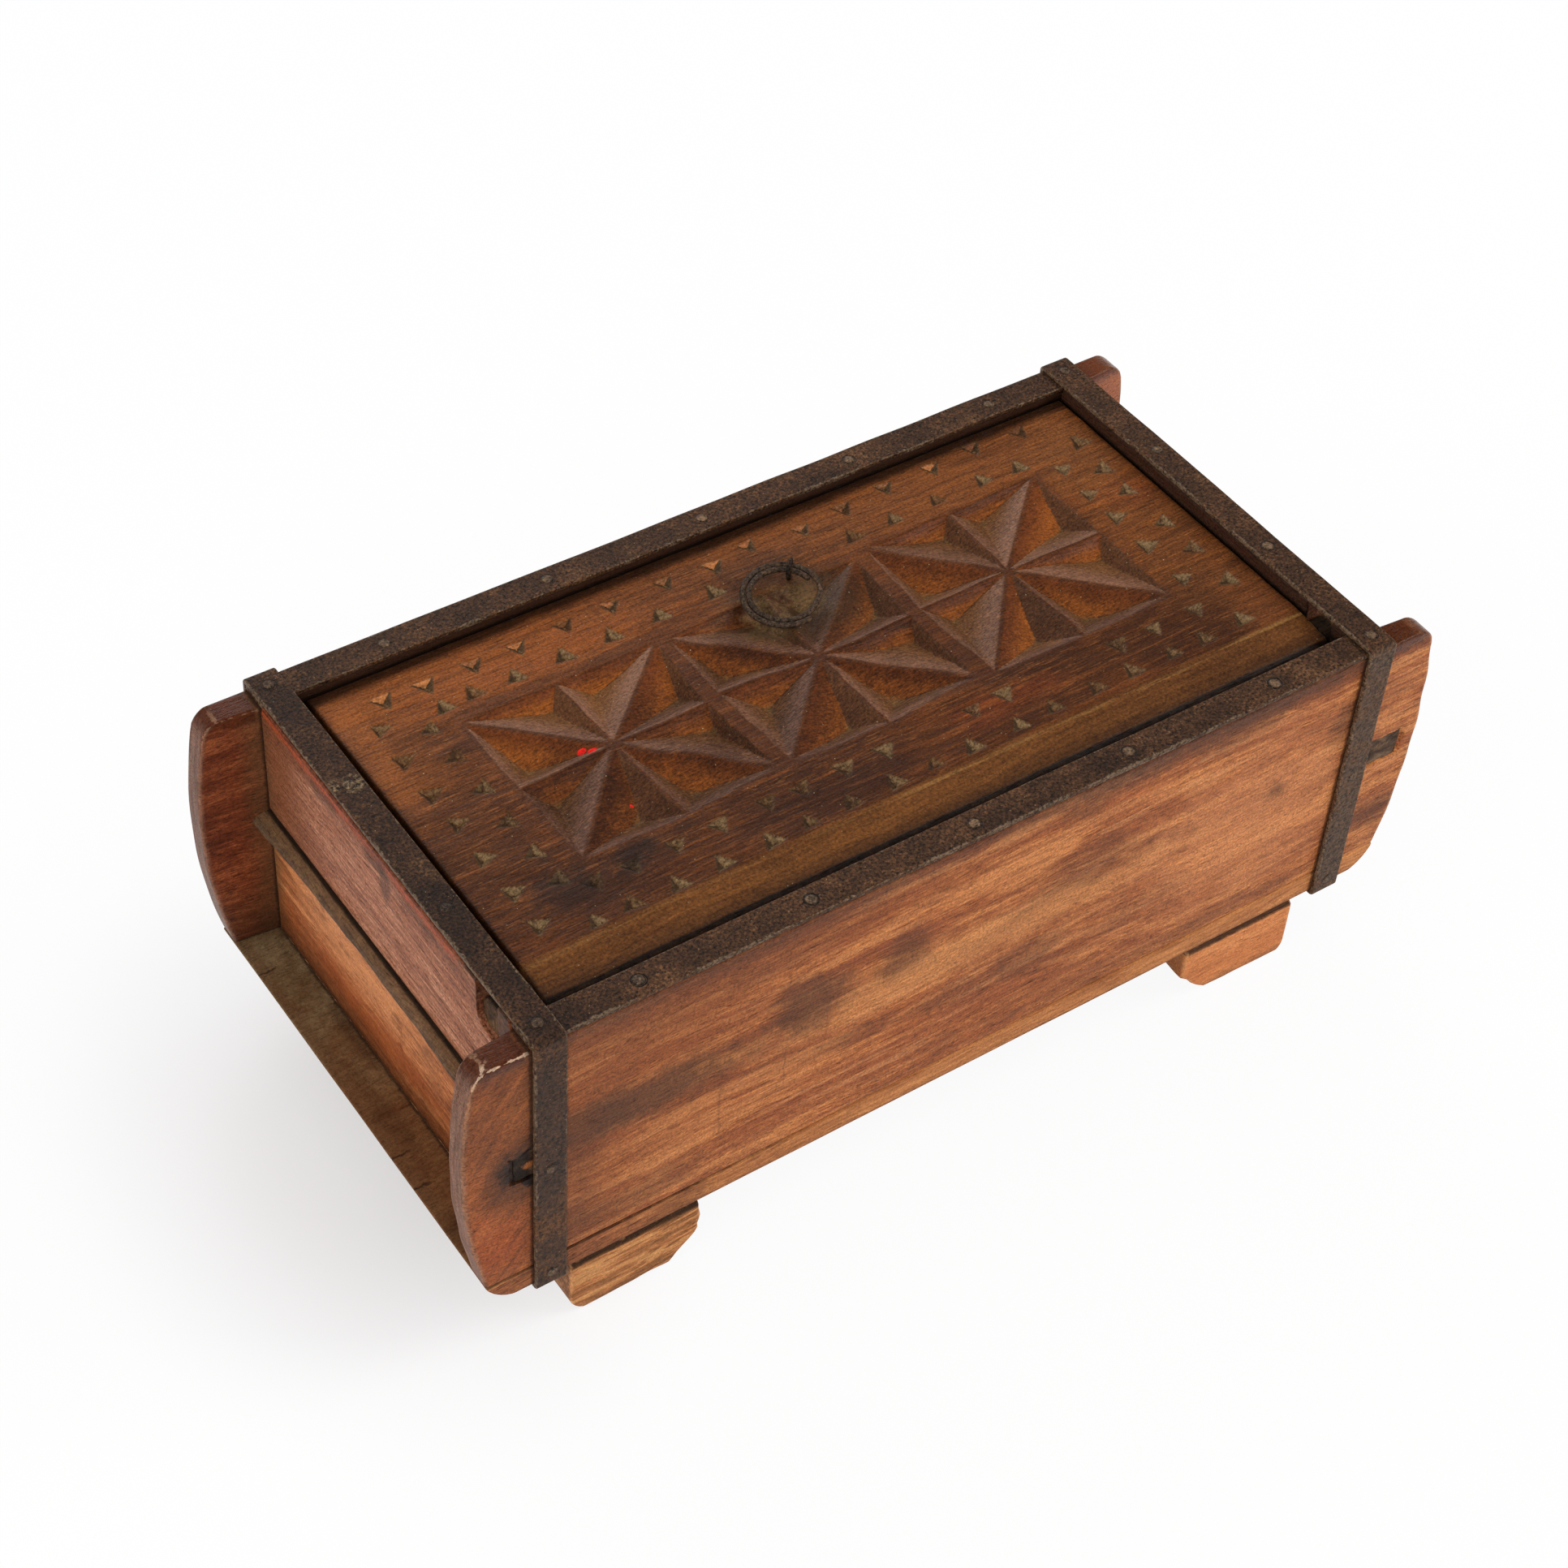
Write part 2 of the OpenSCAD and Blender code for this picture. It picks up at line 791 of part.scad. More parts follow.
// One peg: its turning part beside the lid and its thinner tail inside the lid
module pivot_peg(lid_x, end_x, tail_dir) {
    start = min(lid_x, end_x);
    color([0.62, 0.45, 0.26])
        translate([0, pivot_y, pivot_z])
            rotate([0, 90, 0]) {
                translate([0, 0, start])
                    cylinder(h = abs(end_x - lid_x), r = peg_r);
                translate([0, 0, tail_dir > 0 ? lid_x : lid_x - peg_tail_l + nail_fit])
                    cylinder(h = peg_tail_l - nail_fit, r = peg_tail_r);
            }
}

module pivot_peg_left() {
    pivot_peg(lid_left_x, -peg_end_x, 1);
}

module pivot_peg_right() {
    pivot_peg(lid_right_x, peg_end_x, -1);
}

// The wire staple: an eye above the lid and two legs clinched below it
module lid_staple() {
    leg_top = lid_top_z + eye_h - eye_r;
    leg_bottom = lid_bottom_z - wire_r;
    color([0.24, 0.22, 0.2])
        translate([staple_x, staple_y, 0])
            rotate([0, 0, ring_turn]) {
                translate([0, 0, eye_z])
                    rotate([90, 0, 0])
                        rotate_extrude()
                            translate([eye_r, 0])
                                circle(wire_r);
                for (dir = [-1, 1]) {
                    translate([dir * leg_gap, 0, leg_bottom])
                        cylinder(h = leg_top - leg_bottom, r = wire_r);
                    translate([dir * leg_gap, 0, leg_bottom])
                        sphere(wire_r);
                    translate([dir * leg_gap, 0, leg_bottom])
                        rotate([0, dir * 90, 0])
                            cylinder(h = clinch_l, r = wire_r);
                }
            }
}

// A round wire along a flat path, as one tube of six sides
module flat_wire(path, r) {
    last = len(path) - 1;
    points = [
        for (i = [0:last])
            let (along = path[min(i + 1, last)] - path[max(i - 1, 0)])
            let (out = [-along[1], along[0]] / norm(along))
            for (j = [0:5])
                let (flat = path[i] + r * cos(60 * j) * out)
                [flat[0], flat[1], r * sin(60 * j)]
    ];
    sides = [
        for (i = [0:last - 1], j = [0:5], half = [0, 1])
            let (a = 6 * i + j)
            let (b = 6 * i + (j + 1) % 6)
            half == 0 ? [a, a + 6, b + 6] : [a, b + 6, b]
    ];
    caps = [
        for (j = [1:4], end = [0, 1])
            end == 0 ? [0, j, j + 1] : [6 * last, 6 * last + j + 1, 6 * last + j]
    ];
    polyhedron(points, concat(sides, caps));
}

// The ring: one wire wound twice, lying on the lid from the staple's eye
module ring_pull() {
    color([0.3, 0.27, 0.24])
        translate([staple_x, staple_y, eye_z])
            rotate([0, 0, ring_turn])
                rotate([0, ring_tilt, 0])
                    translate([turn_r, 0, 0])
                        flat_wire(ring_path, wire_r);
}

side_board_front();
side_board_rear();
bottom_board();
end_board_upper_left();
end_board_upper_right();
end_board_lower_left();
end_board_lower_right();
end_rail_left();
end_rail_right();
lid_rest();
foot_front_left();
foot_front_right();
foot_rear_left();
foot_rear_right();
strap_cross_left();
strap_cross_right();
strap_long_front();
strap_long_rear();
strap_nails();
case_nails();
bottom_nails();
foot_nails();
rest_nails();
lid_board();
pivot_peg_left();
pivot_peg_right();
lid_staple();
ring_pull();
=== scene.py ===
"""Looks of a wooden mould box: iron-strapped boards, a chip-carved lid on pegs and a wire ring pull.

Lengths are written in millimetres, as in the part's source, and become metres when a mesh is laid.
"""

import math

import bpy
import numpy as np
from mathutils import Euler, Matrix


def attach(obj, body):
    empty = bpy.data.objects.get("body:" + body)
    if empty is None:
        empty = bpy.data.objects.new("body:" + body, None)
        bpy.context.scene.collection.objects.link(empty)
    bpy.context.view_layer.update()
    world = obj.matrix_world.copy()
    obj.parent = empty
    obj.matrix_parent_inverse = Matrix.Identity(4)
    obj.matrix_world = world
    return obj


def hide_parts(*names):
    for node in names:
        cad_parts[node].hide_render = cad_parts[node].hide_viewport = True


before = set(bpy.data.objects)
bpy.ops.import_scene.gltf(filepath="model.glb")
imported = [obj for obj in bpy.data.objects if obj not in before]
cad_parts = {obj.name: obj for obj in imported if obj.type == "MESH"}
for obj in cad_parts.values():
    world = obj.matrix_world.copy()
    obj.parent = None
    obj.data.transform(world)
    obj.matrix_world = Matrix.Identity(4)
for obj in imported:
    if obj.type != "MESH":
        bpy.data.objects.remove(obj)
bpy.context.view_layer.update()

# Half of the box's inside and of its outside, along x and y
IN_X, IN_Y, OUT_X, OUT_Y = 129.0, 64.5, 138.6, 73.5
# Heights: the bottom board's underside and top, the side boards' tops, and the long straps' tops
SOLE_Z, FLOOR_Z, TOP_Z, LONG_TOP = 22.0, 30.0, 115.6, 117.1
# An end rail: its underside at the wall, its top, how thick its nose is, and its tenons' size along x
RAIL_Z, RAIL_TOP, RAIL_NOSE, TENON = 67.5, 78.0, 1.5, 12.0
# How far the left rail and the right one stand proud of the wall
PROUD = {-1: 4.9, 1: 13.4}
# The feet: their length and width, and where they end outwards at the left and at the right
FOOT_L, FOOT_W, FOOT_OUT = 41.0, 28.0, {-1: 126.9, 1: 122.8}
# A cross strap's inner and outer edges and the middle between them, and the thickness of all straps
CROSS_IN, CROSS_OUT, CROSS_MID, STRAP_T = 128.9, 138.2, 133.55, 1.5
# The middle of an end board's thickness, and how deep nail heads are sunk in wood
WALL_MID, SUNK = 133.8, 0.15
# The ears: how far they reach, the radius and the height of their bulging arc, their upper corners
EAR_X, BULGE_R, BULGE_Z = 158.2, 190.0, 77.0
EAR_ROUND = {-1: 5.0, 1: 6.0}
# The bottom board ends where the ears' arc does, and past the taper boards follow their uneven ends
SOLE_X = EAR_X - BULGE_R + math.sqrt(BULGE_R ** 2 - (BULGE_Z - FLOOR_Z) ** 2)
TAPER_X = 112.0
# The lid's four edges, its top and its underside
LID_LEFT, LID_RIGHT, LID_FRONT, LID_REAR = -125.7, 128.2, -59.8, 63.7
LID_TOP, LID_UNDER = 113.5, 100.5
# The lid's axis, the radius of the notches for its pegs, and how far the pegs reach
PIVOT_Y, PIVOT_Z, NOTCH_R, PEG_X = -53.0, 107.0, 5.33, 137.1
# The staple: its place on the lid, the middle and the radius of its eye, and its wire's radius
STAPLE = (12.5, 38.5)
EYE_Z, EYE_R, WIRE_R = 116.9, 2.4, 0.6
# The ring: its middle radius, how far apart its two turns are, and its wire's radius
TURN_R, RING_PITCH, RING_WIRE = 10.4, 1.8, 0.84
# Which way the ring lies from the eye, and how steeply it leans: 2.5 mm down over 21.7 mm
RING_TURN, RING_TILT = math.radians(226), math.asin(2.5 / 21.7)
# Cut places across half an arris of radius 1, which lie 15 degrees apart once it is rounded
ROUNDING = 1 - np.tan(np.radians((45, 30, 15, 0)))


# Camera and lamps

def aim_camera():
    """The photograph's camera: 70.6 mm lens on 36 mm, above the front left corner, rolled 4 degrees."""
    data = bpy.data.cameras.new("camera")
    data.lens, data.sensor_width = 70.64, 36.0
    data.clip_start, data.clip_end = 0.05, 20.0
    camera = bpy.data.objects.new("camera", data)
    bpy.context.scene.collection.objects.link(camera)
    place = (-0.37781459, -0.48155088, 0.68066215)
    turn = Euler([math.radians(angle) for angle in (44.9782, -2.93934, -34.20249)])
    camera.matrix_world = Matrix.LocRotScale(place, turn, None)
    bpy.context.scene.camera = camera


def soft_lamp(name, place, size, watts, colour):
    """A square soft box at the place, facing the middle of the box."""
    data = bpy.data.lights.new(name, "AREA")
    data.shape, data.size, data.energy, data.color = "SQUARE", size, watts, colour
    lamp = bpy.data.objects.new(name, data)
    bpy.context.scene.collection.objects.link(lamp)
    back = np.array(place) - np.array((0, 0, 0.06))
    back = back / np.linalg.norm(back)
    side = np.cross((0, 0, 1.0), back)
    side = side / np.linalg.norm(side)
    turn = np.eye(4)
    turn[:3] = np.stack([side, np.cross(back, side), back, place], 1)
    lamp.matrix_world = Matrix(turn.tolist())


# Shader workshop

def tone(red, green, blue):
    """A colour as it is seen on the screen, 0 to 255, made linear for the shader."""
    part = np.array((red, green, blue), float) / 255
    part = np.where(part <= 0.04045, part / 12.92, ((part + 0.055) / 1.055) ** 2.4)
    return (*part.tolist(), 1.0)


class Wire:
    """One output of a finish's nodes. + - * / on it add the Math nodes."""

    def __init__(self, finish, socket):
        self.finish, self.socket = finish, socket

    def work(self, what, first, second):
        return self.finish.put("Math", {"operation": what}, {0: first, 1: second})

    def __add__(self, other):
        return self.work("ADD", self, other)

    def __sub__(self, other):
        return self.work("SUBTRACT", self, other)

    def __rsub__(self, other):
        return self.work("SUBTRACT", other, self)

    def __mul__(self, other):
        return self.work("MULTIPLY", self, other)

    __radd__ = __add__
    __rmul__ = __mul__

    def most(self, other):
        return self.work("MAXIMUM", self, other)

    def size(self):
        """The value without its sign."""
        return self.finish.put("Math", {"operation": "ABSOLUTE"}, {0: self})


class Finish:
    """One material: the nodes put on it, and its colour, roughness, height and rubbed places so far."""

    def __init__(self, name, world=None):
        self.made = world or bpy.data.materials.new(name)
        self.made.use_nodes = True
        self.tree = self.made.node_tree
        self.tree.nodes.clear()
        self.kept = {}
        self.colour = self.rough = self.height = self.scuff = self.rubbed = None
        self.bands = self.streaks = self.fibres = self.pores = None

    def put(self, kind, settings=(), sockets=(), out=0):
        """Adds a node with its settings and inputs, and gives one of its outputs."""
        node = self.tree.nodes.new("ShaderNode" + kind)
        for key, value in dict(settings).items():
            setattr(node, key, value)
        for key, value in dict(sockets).items():
            if isinstance(value, Wire):
                self.tree.links.new(value.socket, node.inputs[key])
            else:
                node.inputs[key].default_value = value
        return Wire(self, node.outputs[out])

    def shared(self, kind, out, sockets=()):
        """An output of a node that is put on once and used by all."""
        if kind not in self.kept:
            self.kept[kind] = self.put(kind, (), sockets).socket.node
        return Wire(self, self.kept[kind].outputs[out])

    @property
    def spot(self):
        """The place on the object in millimetres, as a vector. Its parts are x, y and z."""
        if "spot" not in self.kept:
            here = self.shared("TexCoord", "Object")
            self.kept["spot"] = self.put("VectorMath", {"operation": "SCALE"}, {0: here, "Scale": 1000.0})
        return self.kept["spot"]

    @property
    def x(self):
        return self.shared("SeparateXYZ", "X", {0: self.spot})

    @property
    def y(self):
        return self.shared("SeparateXYZ", "Y", {0: self.spot})

    @property
    def z(self):
        return self.shared("SeparateXYZ", "Z", {0: self.spot})

    def mark(self, name):
        """A number stored on the mesh's points."""
        if name not in self.kept:
            self.kept[name] = self.put("Attribute", {"attribute_name": name}, (), "Fac")
        return self.kept[name]

    def stretch(self, vector, sizes, shift=(0, 0, 0)):
        """The vector times the sizes, plus the shift."""
        return self.put("VectorMath", {"operation": "MULTIPLY_ADD"}, {0: vector, 1: sizes, 2: shift})

    def noise(self, scale, detail=2.0, rough=0.5, bend=0.0, place=None):
        """A noise between 0 and 1, of that many cells for each millimetre."""
        place = self.spot if place is None else place
        return self.put("TexNoise", (), {
            "Vector": place, "Scale": scale, "Detail": detail, "Roughness": rough, "Distortion": bend}, "Fac")

    def weave(self, sizes, detail=2.0, rough=0.5, bend=0.0, shift=(0, 0, 0), place=None):
        """A noise with its own scale along each axis, which shows woven or drawn-out forms."""
        place = self.spot if place is None else place
        return self.noise(1.0, detail, rough, bend, self.stretch(place, sizes, shift))

    def torn(self, amount, by=None):
        """The scuffing, or another noise, as a shift of that many millimetres, for uneven edges."""
        return ((self.scuff if by is None else by) - 0.5) * amount

    def step(self, value, start, end, low=0.0, high=1.0):
        """Rises smoothly from low at start to high at end."""
        return self.put("MapRange", {"interpolation_type": "SMOOTHSTEP"},
                        {0: value, 1: start, 2: end, 3: low, 4: high})

    def ragged(self, value, amount, start, end, low=0.0, high=1.0, by=None):
        """A step whose edge is torn by that amount."""
        return self.step(value + self.torn(amount, by), start, end, low, high)

    def beyond(self, value, start, end):
        """A step on both sides of the middle: 0 at start and 1 at end, counted outwards or inwards."""
        return self.step(value * value, start ** 2, end ** 2)

    def line(self, value, outer, inner):
        """A soft line where the value passes zero."""
        return self.step(value.size(), outer, inner)

    def patch(self, centre, size, soft=0.3, ragged=0.8, coarse=0.12):
        """A ragged round patch: 1 inside the ellipsoid of that centre and size, 0 outside."""
        key = ("ragged", coarse)
        if key not in self.kept:
            self.kept[key] = self.noise(coarse, 3.0, 0.6) - 0.5
        away = self.stretch(self.spot, tuple(1 / s for s in size),
                            tuple(-c / s for c, s in zip(centre, size)))
        far = self.put("VectorMath", {"operation": "LENGTH"}, {0: away}, "Value")
        return self.step(far + self.kept[key] * ragged, 1 + soft, 1 - soft)

    def specks(self, scale, size):
        """Small round specks: 1 close to the middle of a cell, 0 elsewhere."""
        cells = self.put("TexVoronoi", (), {"Vector": self.spot, "Scale": scale}, "Distance")
        return self.step(cells, size, size * 0.5)

    def blend(self, share, under, over, way="MIX"):
        """One colour with another over it."""
        return self.put("Mix", {"data_type": "RGBA", "blend_type": way}, {0: share, 6: under, 7: over}, 2)

    def ramp(self, value, *stops):
        """Screen colours along a value: each stop has its place and its colour."""
        out = self.put("ValToRGB", (), {0: value}, "Color")
        band = out.socket.node.color_ramp
        for place, _ in stops[2:]:
            band.elements.new(place)
        for element, (place, colour) in zip(band.elements, stops):
            element.position, element.color = place, tone(*colour)
        return out

    def shade(self, mask, colour):
        """Lays a screen colour, or the colour of a wire, over the colour so far, where the mask is."""
        over = colour if isinstance(colour, Wire) else tone(*colour)
        self.colour = self.blend(mask, self.colour, over)

    def vary(self, value, *tints, within=None):
        """Shades where the value passes from start to end. A tint is start, end, share and colour."""
        for start, end, share, colour in tints:
            mask = self.step(value, start, end, 0.0, share)
            self.shade(mask if within is None else mask * within, colour)

    def daub(self, share, colour, *patch):
        """Shades a ragged patch."""
        self.shade(self.patch(*patch) * share, colour)

    def lighten(self, factor):
        """Multiplies the colour so far: lighter above 1, darker below."""
        self.colour = self.put("VectorMath", {"operation": "SCALE"}, {0: self.colour, "Scale": factor})

    def close(self, depth, gloss):
        """Closes the material. Depth is the millimetres of one unit of height."""
        normal = self.put("Bump", (), {
            "Strength": 1.0, "Distance": depth / 1000, "Height": self.height}, "Normal")
        self.put_out(self.put("BsdfPrincipled", (), {
            "Base Color": self.colour, "Roughness": self.rough, "Specular IOR Level": gloss,
            "Normal": normal}))
        return self.made

    def put_out(self, shader, kind="OutputMaterial"):
        """Leads the shader to the end of the material or of the world."""
        node = self.tree.nodes.new("ShaderNode" + kind)
        self.tree.links.new(shader.socket, node.inputs[0])


def grain(b, axis, seed, curl):
    """Long grain along one axis: bands, streaks, fibres and pores, each a noise stretched along it."""
    along = "xyz".index(axis)
    wave = (b.weave((0.011,) * 3, shift=(seed, seed * 1.7, 3.1)) - 0.5) * curl * 4
    drift = b.put("CombineXYZ", (), {i: 0.0 if i == along else wave for i in range(3)})
    moved = b.put("VectorMath", {"operation": "ADD"}, {0: b.spot, 1: drift})

    def cut(long, thick, detail, rough, shift=0.0):
        sizes = [1.0 / thick] * 3
        sizes[along] = 1.0 / long
        return b.weave(sizes, detail, rough, 0.0, (seed * 3.3 + shift, seed, seed * 0.7), moved)

    b.bands = cut(95.0, 9.0, 4.0, 0.6)
    b.streaks = cut(32.0, 1.7, 4.0, 0.64, 2.0)
    b.fibres = cut(8.0, 0.45, 2.0, 0.6, 5.0)
    b.pores = b.step(cut(5.0, 0.42, 1.0, 0.5, 9.0), 0.62, 0.74)


def timber(name, axis, dark, mid, light, seed, worn=(190, 120, 75), worn_to=1.3, worn_by=0.7, rough=0.5,
           marks=None, curl=5.0, streaky=1.0, fine=1.0, stained=0.5, stain=(60, 36, 24), bump=0.16,
           gritty=1.3):
    """Old hand-planed timber: grain, stain in the low places, wear along the arrises, pores in the bump."""
    b = Finish(name)
    grain(b, axis, seed, curl)
    fleck = b.noise(0.55, 3.0, 0.7)
    body = b.bands * (0.62 * streaky) + b.streaks * (0.5 * streaky * fine)
    body = body + b.fibres * (0.34 * fine) + fleck * 0.22
    middle = (0.31 + 0.25 * fine) * streaky + 0.17 * fine + 0.11
    b.colour = b.ramp(body, (middle - 0.19, dark), (middle, mid), (middle + 0.17, light))
    blot = b.weave((0.03,) * 3, 4.0, 0.62, shift=(seed * 2.0, 1.0, seed))
    b.shade(b.step(blot, 0.52, 0.78, 0.0, stained), stain)
    b.shade(b.pores * 0.5, [c * 0.4 for c in dark])
    b.scuff = b.noise(0.35, 4.0, 0.65)
    b.rubbed = b.ragged(b.mark("arris"), 4.0, worn_to, 0.1, 0.0, worn_by)
    b.height = b.fibres * 0.6 + b.streaks * 0.5 - b.pores * 1.2 + b.scuff * 0.5
    b.rough = b.streaks * 0.25 + (rough - 0.125) + b.pores * 0.2
    if marks:
        marks(b)
    b.shade(b.rubbed, worn)
    grit = b.noise(1.35, 2.0, 0.65)
    b.lighten((grit - 0.5) * gritty + (b.fibres - 0.5) * (gritty * 0.4) + 1.0)
    b.height = b.height + grit * 0.7
    b.rough = b.rough - b.rubbed * 0.12
    return b.close(bump, 0.13)


# Surfaces: each is its points, its lists of faces and the numbers marked on its points

def wander(points, size, seed):
    """Smooth unevenness between about -1 and 1: a sum of seven sine waves in seeded directions."""
    rng = np.random.default_rng(seed)
    total = np.zeros(len(points))
    for _ in range(7):
        way = rng.normal(size=3)
        way = way / np.linalg.norm(way)
        total += np.sin(points @ way * (2 * math.pi / (size * rng.uniform(0.7, 1.5))) + rng.uniform(0, 6.3))
    return total / 7 * 1.8


def spots(x, y, z=0.0):
    """The places of these coordinates. A plain number is the same for all."""
    x, y, z = np.broadcast_arrays(x, y, z)
    return np.stack([x.ravel(), y.ravel(), z.ravel()], 1)


def span(side, near, far):
    """The stretch from near to far on that side of the middle, lowest first."""
    return (near, far) if side > 0 else (-far, -near)


def ticks(low, high, r, pace, more=()):
    """Cut places from low to high: close together over the rounded edges, then even."""
    edge = np.concatenate([r * ROUNDING, r + np.array((0.7, 1.6, 3.0))])
    edge = edge[edge < (high - low) / 2 - 0.3]
    start, stop = low + edge[-1], high - edge[-1]
    count = max(1, round((stop - start) / pace))
    even = np.linspace(start, stop, count + 1)
    return np.unique(np.round(np.concatenate([low + edge, high - edge, even, np.array(more, float)]), 4))


def sheet(ids):
    """Quads between the rows and columns of a grid of point numbers."""
    return np.stack([ids[:-1, :-1], ids[1:, :-1], ids[1:, 1:], ids[:-1, 1:]], -1).reshape(-1, 4)


def wall(ids):
    """Quads between the rows of a grid of point numbers whose rows close on themselves."""
    after = np.roll(ids, -1, 1)
    return np.stack([ids[:-1], ids[1:], after[1:], after[:-1]], -1).reshape(-1, 4)


def block_skin(xs, ys, zs):
    """The skin of a block cut at these places: its points, and its quads seen from outside."""
    ids = np.arange(len(xs) * len(ys) * len(zs)).reshape(len(xs), len(ys), len(zs))
    quads = np.concatenate([
        sheet(ids[:, :, -1]), sheet(ids[:, :, 0])[:, ::-1],
        sheet(ids[-1]), sheet(ids[0])[:, ::-1],
        sheet(ids[:, -1].T), sheet(ids[:, 0].T)[:, ::-1],
    ])
    used, quads = np.unique(quads, return_inverse=True)
    i, j, k = np.unravel_index(used, ids.shape)
    return np.stack([xs[i], ys[j], zs[k]], 1), quads.reshape(-1, 4)


def board(x, y, z, r, pace, seed, shape=None, uneven=0.12, more=((), (), ())):
    """A block between those limits: points past the inner block are pulled to r from it, unevenly.

    The shape then moves them: it is given the points, and where they were on the plain block. The arris
    mark is how far each point was from the nearest arris.
    """
    low, high = np.array((x, y, z), float).T
    cuts = [ticks(low[i], high[i], r, pace[i], more[i]) for i in range(3)]
    flat, quads = block_skin(*cuts)
    arris = np.sort(np.minimum(flat - low, high - flat), axis=1)[:, 1]
    core = np.clip(flat, low + r, high - r)
    out = flat - core
    far = np.linalg.norm(out, axis=1, keepdims=True)
    normal = out / np.maximum(far, 1e-9)
    points = np.where(far > 1e-9, core + out * r / np.maximum(far, 1e-9), flat)
    worn_down = uneven * (0.5 + 0.5 * wander(flat, 26.0, seed)) * np.clip(far[:, 0], 0, 1)
    points = points - normal * worn_down[:, None]
    if shape:
        shape(points, flat)
    return points, [quads], {"arris": arris}


def join(*skins):
    """Several skins as one."""
    every_points, every_faces, every_marks = zip(*skins)
    shifts = np.cumsum([0] + [len(points) for points in every_points])
    faces = [np.concatenate([ids + shift for ids, shift in zip(kind, shifts)]) for kind in zip(*every_faces)]
    marks = {key: np.concatenate([marks[key] for marks in every_marks]) for key in every_marks[0]}
    return np.concatenate(every_points), faces, marks


def spin(profile, segments, seed=None, dent=0.0):
    """A profile of radius and height turned round the z axis, closed at both poles, with no marks."""
    profile = np.array(profile, float)
    angle = np.arange(segments) * 2 * math.pi / segments
    r, z = profile[1:-1, 0], profile[1:-1, 1]
    ring = np.stack([r[:, None] * np.cos(angle), r[:, None] * np.sin(angle),
                     np.repeat(z[:, None], segments, 1)], -1)
    if seed is not None:
        bent = 1 + dent * wander(spots(np.cos(angle), np.sin(angle), seed) * 3, 5.0, seed)
        ring[..., :2] *= bent[:, None]
    points = np.concatenate([[(0, 0, profile[0, 1])], ring.reshape(-1, 3), [(0, 0, profile[-1, 1])]])
    ids = 1 + np.arange(len(r) * segments).reshape(len(r), segments)
    after = np.roll(ids, -1, 1)
    top = np.stack([np.zeros(segments, int), ids[0], after[0]], 1)
    low = np.stack([np.full(segments, len(points) - 1), after[-1], ids[-1]], 1)
    return points, [wall(ids), np.concatenate([top, low])]


def tube(path, r, sides):
    """A round wire along a path: a ring of points across the path at each of its points, with domed ends."""
    along = np.gradient(path, axis=0)
    along = along / np.linalg.norm(along, axis=1, keepdims=True)
    side = np.cross(along, (0.013, 0.027, 1.0))
    side = side / np.linalg.norm(side, axis=1, keepdims=True)
    up = np.cross(side, along)
    dome, narrow = np.array((0.4, 0.72, 0.96)), np.array((0.92, 0.69, 0.28))
    start = path[0] - along[0] * r * dome[::-1, None]
    stop = path[-1] + along[-1] * r * dome[:, None]
    rads = np.concatenate([r * narrow[::-1], np.full(len(path), r), r * narrow])
    path = np.concatenate([start, path, stop])
    side, up = (np.concatenate([way[:1]] * 3 + [way] + [way[-1:]] * 3)[:, None] for way in (side, up))
    turn = (np.arange(sides) * 2 * math.pi / sides)[None, :, None]
    points = path[:, None] + rads[:, None, None] * (side * np.cos(turn) + up * np.sin(turn))
    ids = np.arange(len(path) * sides).reshape(len(path), sides)
    faces = [wall(ids)[:, [0, 3, 2, 1]], ids[:1, ::-1], ids[-1:]]
    return points.reshape(-1, 3), faces, {"arris": np.full(ids.size, 0.45)}


def lay(node, ending, finish, points, faces, marks, body="case", sharp=38):
    """Lays a surface as a mesh at the origin, in place of a CAD node. The ending completes its name."""
    name = f"{node}_{ending}"
    material, slot = finish
    mesh = bpy.data.meshes.new(name)
    loops = np.concatenate([ids.reshape(-1) for ids in faces])
    sizes = np.concatenate([np.full(len(ids), ids.shape[1]) for ids in faces])
    mesh.vertices.add(len(points))
    mesh.vertices.foreach_set("co", (points / 1000).astype(np.float32).reshape(-1))
    mesh.loops.add(len(loops))
    mesh.loops.foreach_set("vertex_index", loops.astype(np.int32))
    mesh.polygons.add(len(sizes))
    mesh.polygons.foreach_set("loop_start", np.concatenate([[0], np.cumsum(sizes)[:-1]]).astype(np.int32))
    mesh.polygons.foreach_set("use_smooth", np.ones(len(sizes), bool))
    for key, values in marks.items():
        made = mesh.attributes.new(key, "FLOAT", "POINT")
        made.data.foreach_set("value", np.asarray(values, np.float32))
    mesh.update(calc_edges=True)
    mesh.validate()
    mesh.set_sharp_from_angle(angle=math.radians(sharp))
    mesh.materials.append(material)
    piece = bpy.data.objects.new(name, mesh)
    bpy.context.scene.collection.objects.link(piece)
    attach(piece, body)
    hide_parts(node)


# The case's boards, feet and straps

def ear_edge(z, side):
    """How far the ear reaches at height z: the bulging arc, and the round of its upper corner."""
    reach = EAR_X - BULGE_R + np.sqrt(BULGE_R ** 2 - (z - BULGE_Z) ** 2)
    r = EAR_ROUND[side]
    over = np.clip(z - (TOP_Z - r), 0, r)
    return reach - (r - np.sqrt(np.maximum(r * r - over * over, 0)))


def ear_reach(p):
    """How far the ear on each point's side reaches at its height."""
    z = np.clip(p[:, 2], FLOOR_Z, TOP_Z)
    return np.where(p[:, 0] < 0, ear_edge(z, -1), ear_edge(z, 1))


